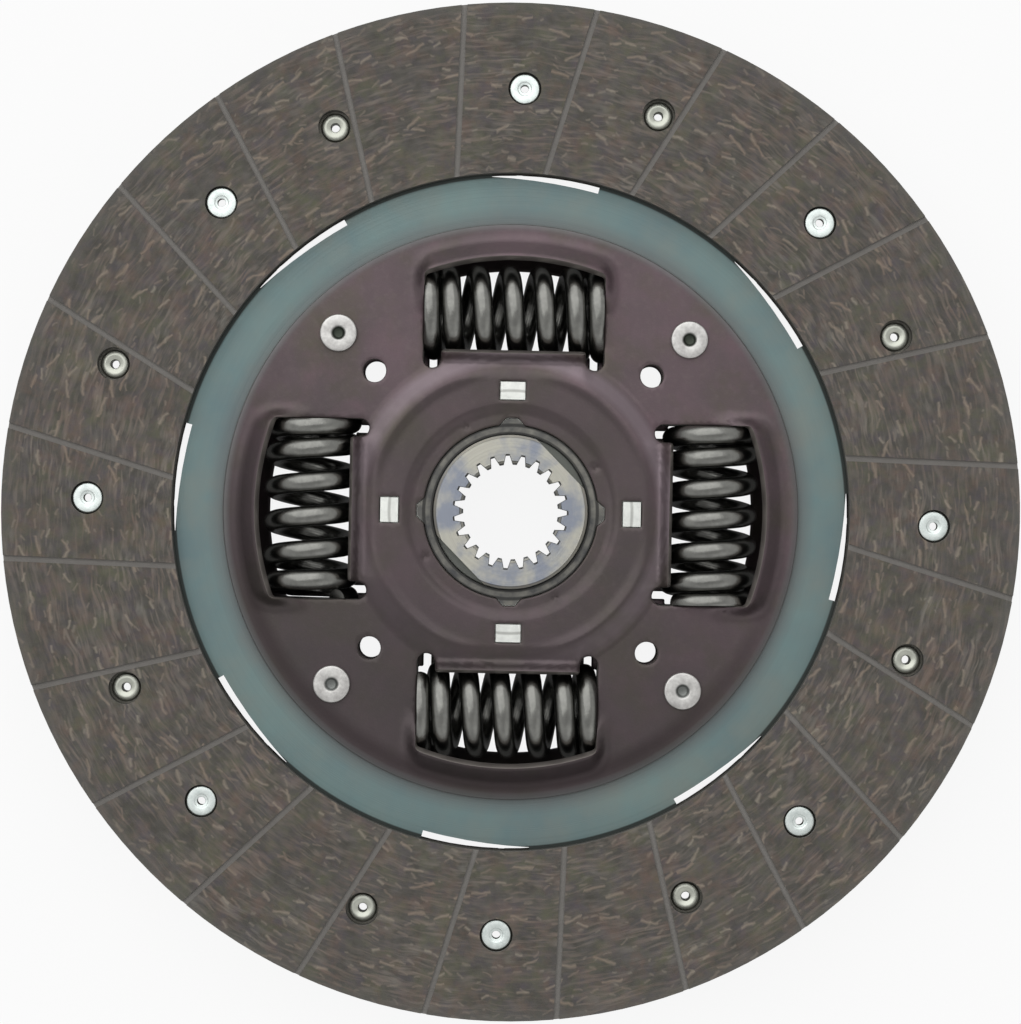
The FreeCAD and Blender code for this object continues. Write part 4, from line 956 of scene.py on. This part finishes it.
def make_rear_cover():
    """The rear cover: a flat plate but for its lips, which stand down."""
    rim = arc((0, 0), rear_high.x, 0, 359, 1.0)
    bore = arc((0, 0), BORE_RADIUS, 0, 357, 0.8)
    holes = cover_holes(REAR_WINDOW_INNER, REAR_WINDOW_OUTER, REAR_EAR_WIDTH, False)
    vertices, triangles = fill_outline(rim, bore, holes, np.empty((0, 2)))
    low = rear_high.z - SHEET_THICKNESS - rear_depths(vertices)
    mesh = thick_sheet("cover_rear_sheet", vertices, triangles, low, low + SHEET_THICKNESS)
    return soft_edges(mesh, "cover_rear_sheet")


rear_cover = make_rear_cover()
print("rear cover", len(rear_cover.data.polygons), "faces")

# %% [markdown]
# ## Geometry Nodes for what repeats
#
# Rivets and pins repeat round a circle, and each coil follows a formula. Both are Geometry Nodes trees with
# named inputs. A tree ends in Realize Instances and Set Material, and its result is copied into a plain
# mesh, so no live modifier is left on the piece.

# %% Run a Geometry Nodes tree
GROWN_ANGLE = 40


def hand_out(tree, geometry, starts, ends):
    """Ends a tree: its instances become real geometry with the given material."""
    whole = tree.add("GeometryNodeRealizeInstances", {"Geometry": geometry}).outputs[0]
    shown = tree.add("GeometryNodeSetMaterial", {"Geometry": whole, "Material": starts["Material"]})
    tree.put(shown.outputs[0], ends["Geometry"])


def grown(name, group, values):
    """A plain mesh object, grown by a tree with these inputs."""
    thing = new_object(name, bpy.data.meshes.new(name))
    modifier = thing.modifiers.new("grow", "NODES")
    modifier.node_group = group
    for item in group.interface.items_tree:
        if item.in_out == "INPUT" and item.name in values:
            modifier[item.identifier] = values[item.name]
    baked(thing, GROWN_ANGLE).data.name = name
    return thing


# %% [markdown]
# ## Damper springs
#
# A damper spring is wound from 4.5 mm wire, its end turns closed and ground flat so that it pushes evenly.
# The tree lays points along the coil's centre line, sweeps a circle along them and then holds every point
# between the two ground planes, which is just what the grinding wheel does. A spring can turn in its
# window, so each shows its coils at a different place, and one has fewer turns. The wires lean less in front
# than at the back, so the lean is an input of its own.

# %% The coil tree
CLOSED_TURNS = 1.2
CLOSED_GAP = 0.1
LEAN = 0.4
# Turns and first crossing of each spring.
WINDINGS = [(6.55, 0.40), (6.55, 0.27), (6.2, -0.13), (6.55, 0.40)]
WIRE_RADIUS = 2.25
WIRE_SIDES = 28
STEPS_PER_TURN = 40
BLEND_TURNS = 0.25


def make_coil_tree():
    """A coil with closed ends along Z, ground flat, and then put in its place."""
    group, tree, starts, ends = new_group("coil spring", {
        "Coil Radius": "Float", "Wire Radius": "Float", "Length": "Float", "Turns": "Float",
        "Closed Turns": "Float", "Closed Pitch": "Float", "First Crossing": "Float", "Lean": "Float",
        "Steps": "Int", "Place": "Vector", "Turn": "Rotation", "Material": "Material"},
        {"Geometry": "Geometry"}, "GeometryNodeTree")
    length, turns, closed, closed_pitch = (
        starts[name] for name in ("Length", "Turns", "Closed Turns", "Closed Pitch"))
    line = tree.add("GeometryNodeMeshLine", {"Count": starts["Steps"], "Offset": (0, 0, 0)})
    index = tree.add("GeometryNodeInputIndex").outputs[0]
    turn = tree.times(tree.math("DIVIDE", index, tree.minus(starts["Steps"], 1.0)), turns)
    open_length = tree.minus(length, tree.times(tree.times(closed, closed_pitch), 2.0))
    open_turns = tree.minus(turns, tree.times(closed, 2.0))
    pitch_change = tree.minus(tree.math("DIVIDE", open_length, open_turns), closed_pitch)

    def past(limit):
        """How many turns past a limit, with a soft start."""
        over = tree.minus(turn, limit)
        soft = tree.math("MAXIMUM", tree.plus(over, BLEND_TURNS), 0.0)
        soft = tree.math("MINIMUM", soft, 2 * BLEND_TURNS)
        straight = tree.math("MAXIMUM", tree.minus(over, BLEND_TURNS), 0.0)
        return tree.plus(tree.math("DIVIDE", tree.times(soft, soft), 4 * BLEND_TURNS), straight)

    opened = tree.minus(past(closed), past(tree.minus(turns, closed)))
    angle = tree.times(tree.minus(turn, starts["First Crossing"]), 2 * math.pi)
    even = tree.plus(tree.times(turn, closed_pitch), tree.times(pitch_change, opened))
    rise = tree.minus(even, tree.times(tree.math("SINE", angle), starts["Lean"]))
    half = tree.times(length, 0.5)
    across = [tree.times(tree.math(way, angle), starts["Coil Radius"]) for way in ("COSINE", "SINE")]
    centre = tree.joined(*across, tree.minus(rise, half))
    coil = tree.add("GeometryNodeSetPosition", {"Geometry": line.outputs[0], "Position": centre})
    curve = tree.add("GeometryNodeMeshToCurve", {"Mesh": coil.outputs[0]})
    section = tree.add("GeometryNodeCurvePrimitiveCircle", {
        "Resolution": WIRE_SIDES, "Radius": starts["Wire Radius"]})
    wire = tree.add("GeometryNodeCurveToMesh", {
        "Curve": curve.outputs[0], "Profile Curve": section.outputs[0], "Fill Caps": True})
    x, y, height = tree.parts(tree.add("GeometryNodeInputPosition").outputs[0])
    held = tree.math("MINIMUM", tree.math("MAXIMUM", height, tree.times(half, -1.0)), half)
    flat = tree.add("GeometryNodeSetPosition", {
        "Geometry": wire.outputs[0], "Position": tree.joined(x, y, held)})
    placed = tree.add("GeometryNodeTransform", {
        "Geometry": flat.outputs[0], "Translation": starts["Place"], "Rotation": starts["Turn"]})
    hand_out(tree, placed.outputs[0], starts, ends)
    return group


# %% The four springs
coil_tree = make_coil_tree()
springs = []
for k, (angle, (turns, first_crossing)) in enumerate(zip(DAMPER_ANGLES, WINDINGS), 1):
    low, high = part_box(f"damper_spring_{k}")
    outward = Vector((math.cos(angle), math.sin(angle), 0))
    along = Vector((math.sin(angle), -math.cos(angle), 0))
    middle = (low + high) / 2
    length = abs((high - low).dot(along))
    outer_radius = (high.z - low.z) / 2
    turn = Matrix((Vector((0, 0, 1)), -outward, along)).transposed().to_euler()
    spring = grown(f"damper_coil_{k}", coil_tree, {
        "Coil Radius": outer_radius - WIRE_RADIUS * MM, "Wire Radius": WIRE_RADIUS * MM, "Length": length,
        "Turns": turns, "Closed Turns": CLOSED_TURNS, "Closed Pitch": (2 * WIRE_RADIUS + CLOSED_GAP) * MM,
        "First Crossing": first_crossing, "Lean": LEAN * MM, "Steps": round(turns * STEPS_PER_TURN) + 1,
        "Place": middle, "Turn": turn, "Material": MATERIALS["spring_steel"]})
    springs.append((spring, along, middle, length))
print("spring outer diameter", round(2 * outer_radius / MM, 2), "mm, length", round(length / MM, 2), "mm")

# %% [markdown]
# ## Rivets and stop pins
#
# A tubular rivet has a flat head with a softly rounded rim. Its other end is rolled over in the plate, where
# the bore widens like a funnel. Turned pieces are profiles swept round an axis, so a short function makes one
# from the corners of its profile, with each corner cut to a small curve. One tree then puts copies round the
# disc. The rivets of the rear lining are the same ones, turned over.

# %% One turned piece
RIVET_COUNT = 8
RIVET_CIRCLE = 93.6
FRONT_RIVET_ANGLE = math.radians(44.2)
REAR_RIVET_ANGLE = math.radians(25.65)
RIVET_TILT = math.radians(0.5)


def rounded_profile(corners, steps=3):
    """A profile's corners (radius, height, rounding) in millimetres, each one cut to a curve."""
    points = []
    spots = [np.array(corner[:2]) for corner in corners]
    for k, (_, _, rounding) in enumerate(corners):
        before, here, after = spots[k - 1], spots[k], spots[(k + 1) % len(spots)]
        if rounding == 0:
            points.append(tuple(here))
            continue
        back = here + (before - here) / np.linalg.norm(before - here) * rounding
        ahead = here + (after - here) / np.linalg.norm(after - here) * rounding
        points += soft_corner(back, here, ahead, steps)
    return points


def turned_mesh(name, corners, segments=48):
    """A closed profile swept round the Z axis. Points on the axis are joined to one."""
    rows = []
    vertices = []
    for radius, height in rounded_profile(corners):
        count = segments if radius > 1e-6 else 1
        rows.append([len(vertices) + k % count for k in range(segments)])
        for k in range(count):
            angle = 2 * math.pi * k / segments
            vertices.append((radius * math.cos(angle) * MM, radius * math.sin(angle) * MM, height * MM))
    faces = []
    for row, following in zip(rows, rows[1:] + rows[:1]):
        for k in range(segments):
            after = (k + 1) % segments
            corner = list(dict.fromkeys([row[k], row[after], following[after], following[k]]))
            if len(corner) > 2:
                faces.append(corner)
    mesh = bpy.data.meshes.new(name)
    mesh.from_pydata(vertices, [], faces)
    return mesh


def make_round_tree():
    """Copies of one piece round the disc's axis, each tilted by up to a small angle."""
    group, tree, starts, ends = new_group("pieces round the disc", {
        "Piece": "Object", "Count": "Int", "Circle": "Float", "First Angle": "Float", "Tilt": "Float",
        "Seed": "Int", "Material": "Material"}, {"Geometry": "Geometry"}, "GeometryNodeTree")
    tilt = starts["Tilt"]
    ring = tree.add("GeometryNodeMeshCircle", {"Vertices": starts["Count"], "Radius": starts["Circle"]})
    spread = tree.add("GeometryNodeTransform", {
        "Geometry": ring.outputs[0], "Rotation": tree.joined(z=starts["First Angle"])})
    piece = tree.add("GeometryNodeObjectInfo", {"Object": starts["Piece"]}).outputs["Geometry"]
    least = tree.times(tilt, -1.0)
    chance = tree.add("FunctionNodeRandomValue", {
        0: tree.joined(least, least, -math.pi), 1: tree.joined(tilt, tilt, math.pi),
        "Seed": starts["Seed"]}, data_type="FLOAT_VECTOR")
    copies = tree.add("GeometryNodeInstanceOnPoints", {
        "Points": spread.outputs[0], "Instance": piece, "Rotation": chance.outputs[0]})
    hand_out(tree, copies.outputs[0], starts, ends)
    return group


def copies_round(name, mesh, count, circle, first_angle, tilt, seed, material):
    """The grown copies, and the pattern piece removed again."""
    pattern = new_object(name + "_pattern", mesh)
    copies = grown(name, round_tree, {
        "Piece": pattern, "Count": count, "Circle": circle * MM, "First Angle": first_angle,
        "Tilt": tilt, "Seed": seed, "Material": MATERIALS[material]})
    bpy.data.objects.remove(pattern)
    return copies


round_tree = make_round_tree()

# %% Rivets of the two linings
HEAD_BACK = 1.9
HEAD_FACE = 2.9
PLATE_BACK = -0.3
CLENCH_END = -1.2


def rivet_mesh():
    """One rivet, head up, its heights counted from the middle of the cushion plate."""
    return turned_mesh("rivet", [
        (0.95, PLATE_BACK, 0),
        (1.0, CLENCH_END + 0.3, 0.1),
        (1.7, CLENCH_END + 0.06, 0.25),
        (2.1, CLENCH_END - 0.05, 0.25),
        (3.15, CLENCH_END + 0.15, 0.3),
        (3.15, PLATE_BACK, 0),
        (2.0, PLATE_BACK, 0),
        (2.0, HEAD_BACK, 0),
        (3.4, HEAD_BACK, 0.1),
        (3.4, HEAD_FACE, 0.35),
        (1.55, HEAD_FACE - 0.02, 0.2),
        (1.45, HEAD_FACE - 0.14, 0.08),
        (0.9, HEAD_FACE - 0.16, 0.12),
    ])


def make_rivets():
    """The rivets of the front and of the rear lining."""
    up = Matrix.Translation((0, 0, PACK_LEVEL * MM))
    flip = (FRONT_RIVET_ANGLE + REAR_RIVET_ANGLE) / 2
    over = Matrix.Rotation(math.pi, 4, Vector((math.cos(flip), math.sin(flip), 0)))
    both = []
    for name, seed, place in (("rivets_front", 3, up), ("rivets_rear", 8, up @ over)):
        rivets = copies_round(name, rivet_mesh(), RIVET_COUNT, RIVET_CIRCLE, FRONT_RIVET_ANGLE, RIVET_TILT,
                              seed, "rivet_steel")
        rivets.data.transform(place)
        both.append(rivets)
    return both


front_rivets, rear_rivets = make_rivets()
print("rivets", len(front_rivets.data.polygons), "faces each side")

# %% Stop pins
PIN_HEAD_RADIUS = 4.15
PIN_BODY_RADIUS = 4.5
PIN_SHANK_RADIUS = 3.0
PIN_HEAD_HEIGHT = 1.4


def stop_pin_mesh():
    """A shouldered pin between the two covers, riveted over at both ends."""
    low, high = box_mm("stop_pin_1")
    rear_face = low.z + PIN_HEAD_HEIGHT
    front_face = high.z - PIN_HEAD_HEIGHT
    rear_shoulder = rear_face + SHEET_THICKNESS
    front_shoulder = plate_low.z
    return turned_mesh("stop_pin", [
        (0, low.z, 0),
        (PIN_HEAD_RADIUS, low.z, 0.5),
        (PIN_HEAD_RADIUS, rear_face, 0),
        (PIN_SHANK_RADIUS, rear_face, 0),
        (PIN_SHANK_RADIUS, rear_shoulder, 0),
        (PIN_BODY_RADIUS, rear_shoulder, 0.2),
        (PIN_BODY_RADIUS, front_shoulder, 0.2),
        (PIN_SHANK_RADIUS, front_shoulder, 0),
        (PIN_SHANK_RADIUS, front_face, 0),
        (PIN_HEAD_RADIUS, front_face, 0.1),
        (PIN_HEAD_RADIUS, high.z, 0.5),
        (1.6, high.z, 0.25),
        (0.9, high.z - 0.75, 0.3),
        (0, high.z - 0.8, 0),
    ])


stop_pins = copies_round("stop_pins", stop_pin_mesh(), len(BETWEEN_ANGLES), PIN_CIRCLE, BETWEEN_ANGLES[0],
                         0.0, 5, "pin_steel")
print("stop pins", len(stop_pins.data.polygons), "faces")

# %% [markdown]
# ## Put the new pieces on their bodies
#
# Each new piece rides on the body of the node that it stands for. The springs ride on a body of their own.
# On the real disc that body turns half as far as the hub, and the springs shorten as the hub twists: at the
# limit of 8 degrees a window of the hub has moved about 6 mm along the spring.


def dress(piece, body, slot, *nodes):
    """Makes a piece ride on a body in place of its CAD nodes."""
    if not piece.data.materials:
        piece.data.materials.append(MATERIALS[slot])
    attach(piece, body)
    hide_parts(*nodes)


dress(front_cover, "disc", "phosphated_steel", "cover_plate_front")
dress(rear_cover, "disc", "phosphated_steel", "cover_plate_rear")
dress(front_rivets, "disc", "rivet_steel", "facing_rivets_front")
dress(rear_rivets, "disc", "rivet_steel", "facing_rivets_rear")
dress(stop_pins, "disc", "pin_steel", *(f"stop_pin_{k}" for k in range(1, 5)))
for k, (spring, along, middle, length) in enumerate(springs, 1):
    dress(spring, "springs", "spring_steel", f"damper_spring_{k}")
    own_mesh(spring)

# %% [markdown]
# ## Floor and light
#
# The disc lies on a plain pale floor. To the camera, and to what metal reflects, floor and world are white,
# as in the photograph's background. Metal shows three things more: under the disc the floor is in the disc's
# own shade, the room is dimmer low down towards the picture's lower edge, and its ceiling is a little dimmer
# than its walls. The light on the disc comes from a large soft lamp above the picture's top edge, slightly to
# the left, a weak one opposite, and a pale world.

# %% World, floor and lamps
FLOOR_HALF = 4.0
FLOOR_WHITE = 0.9
SHADED_FLOOR = 0.05
WORLD_LEVEL = 0.42
DIM_SIDE = 0.08
BRIGHT_SIDE = 1.0
ZENITH = 0.7
# Where the side, the walls and the ceiling start and end, as parts of a direction from -1 to 1.
SIDE_RANGE = (-0.3, 0.7)
WALL_RANGE = (0.05, 0.4)
CEILING_RANGE = (0.6, 0.97)
# The radii at which the floor's shade starts to fade and has gone.
SHADE_RANGE = (FACING_RADIUS - 10, FACING_RADIUS + 60)
# Name, direction, distance, size and power of each lamp.
LAMPS = (("key", (-0.22, 0.55, 0.80), 1.4, 2.0, 16.0), ("fill", (0.5, -0.6, 0.6), 1.4, 0.9, 0.6))


def seen_directly(tree, mirrored):
    """1 for camera and transmission rays, a given value for glossy ones, else 0."""
    path = tree.add("ShaderNodeLightPath").outputs
    direct = tree.math("MAXIMUM", path["Is Camera Ray"], path["Is Transmission Ray"])
    return tree.math("MAXIMUM", direct, tree.times(path["Is Glossy Ray"], mirrored))


def make_world():
    """A plain world for the light, and a room with walls and ceiling for what metal mirrors."""
    world = bpy.data.worlds.new("studio")
    world.use_nodes = True
    bpy.context.scene.world = world
    tree = Tree(world.node_tree)
    ambient = world.node_tree.nodes["Background"]
    ambient.inputs["Color"].default_value = (1, 1, 1, 1)
    ambient.inputs["Strength"].default_value = WORLD_LEVEL
    _, back, up = tree.parts(tree.add("ShaderNodeTexCoord").outputs["Generated"])
    side = tree.ramp(back, *SIDE_RANGE, DIM_SIDE, BRIGHT_SIDE)
    wall = tree.mix(tree.ramp(up, *WALL_RANGE), side, BRIGHT_SIDE)
    mirrored = tree.mix(tree.ramp(up, *CEILING_RANGE), wall, ZENITH)
    level = tree.mix(tree.add("ShaderNodeLightPath").outputs["Is Glossy Ray"], 1.0, mirrored)
    white = tree.add("ShaderNodeBackground", {"Color": (1, 1, 1, 1), "Strength": level})
    mix = tree.add("ShaderNodeMixShader", {
        0: seen_directly(tree, 1.0), 1: ambient.outputs[0], 2: white.outputs[0]})
    tree.put(mix.outputs[0], world.node_tree.nodes["World Output"].inputs["Surface"])


def make_floor():
    """The pale floor, matte for the light and plain white to the camera."""
    mesh = bpy.data.meshes.new("floor")
    corners = [(x * FLOOR_HALF, y * FLOOR_HALF, 0) for x, y in ((-1, -1), (1, -1), (1, 1), (-1, 1))]
    mesh.from_pydata(corners, [], [(0, 1, 2, 3)])
    floor = new_object("floor", mesh)
    material = bpy.data.materials.new("pale floor")
    material.use_nodes = True
    tree = Tree(material.node_tree)
    material.node_tree.nodes.remove(material.node_tree.nodes["Principled BSDF"])
    matte = tree.add("ShaderNodeBsdfDiffuse", {"Color": (0.8, 0.8, 0.8, 1)})
    white = tree.add("ShaderNodeEmission", {"Color": (1, 1, 1, 1), "Strength": 1.0})
    away = tree.add("ShaderNodeGroup", node_tree=GROUPS["place"]).outputs["Radius"]
    lit = tree.ramp(away, *SHADE_RANGE, SHADED_FLOOR, 1.0)
    share = tree.times(seen_directly(tree, lit), FLOOR_WHITE)
    mix = tree.add("ShaderNodeMixShader", {0: share, 1: matte.outputs[0], 2: white.outputs[0]})
    tree.put(mix.outputs[0], material.node_tree.nodes["Material Output"].inputs["Surface"])
    mesh.materials.append(material)


def make_lamp(name, direction, distance, size, power):
    """A square soft lamp that looks at the disc."""
    data = bpy.data.lights.new(name, "AREA")
    data.size = size
    data.energy = power
    lamp = new_object(name, data)
    place = Vector(direction).normalized() * distance
    lamp.location = place
    lamp.rotation_euler = (-place).to_track_quat("-Z", "Y").to_euler()


bpy.context.scene.view_settings.view_transform = "Standard"
make_world()
make_floor()
for lamp in LAMPS:
    make_lamp(*lamp)
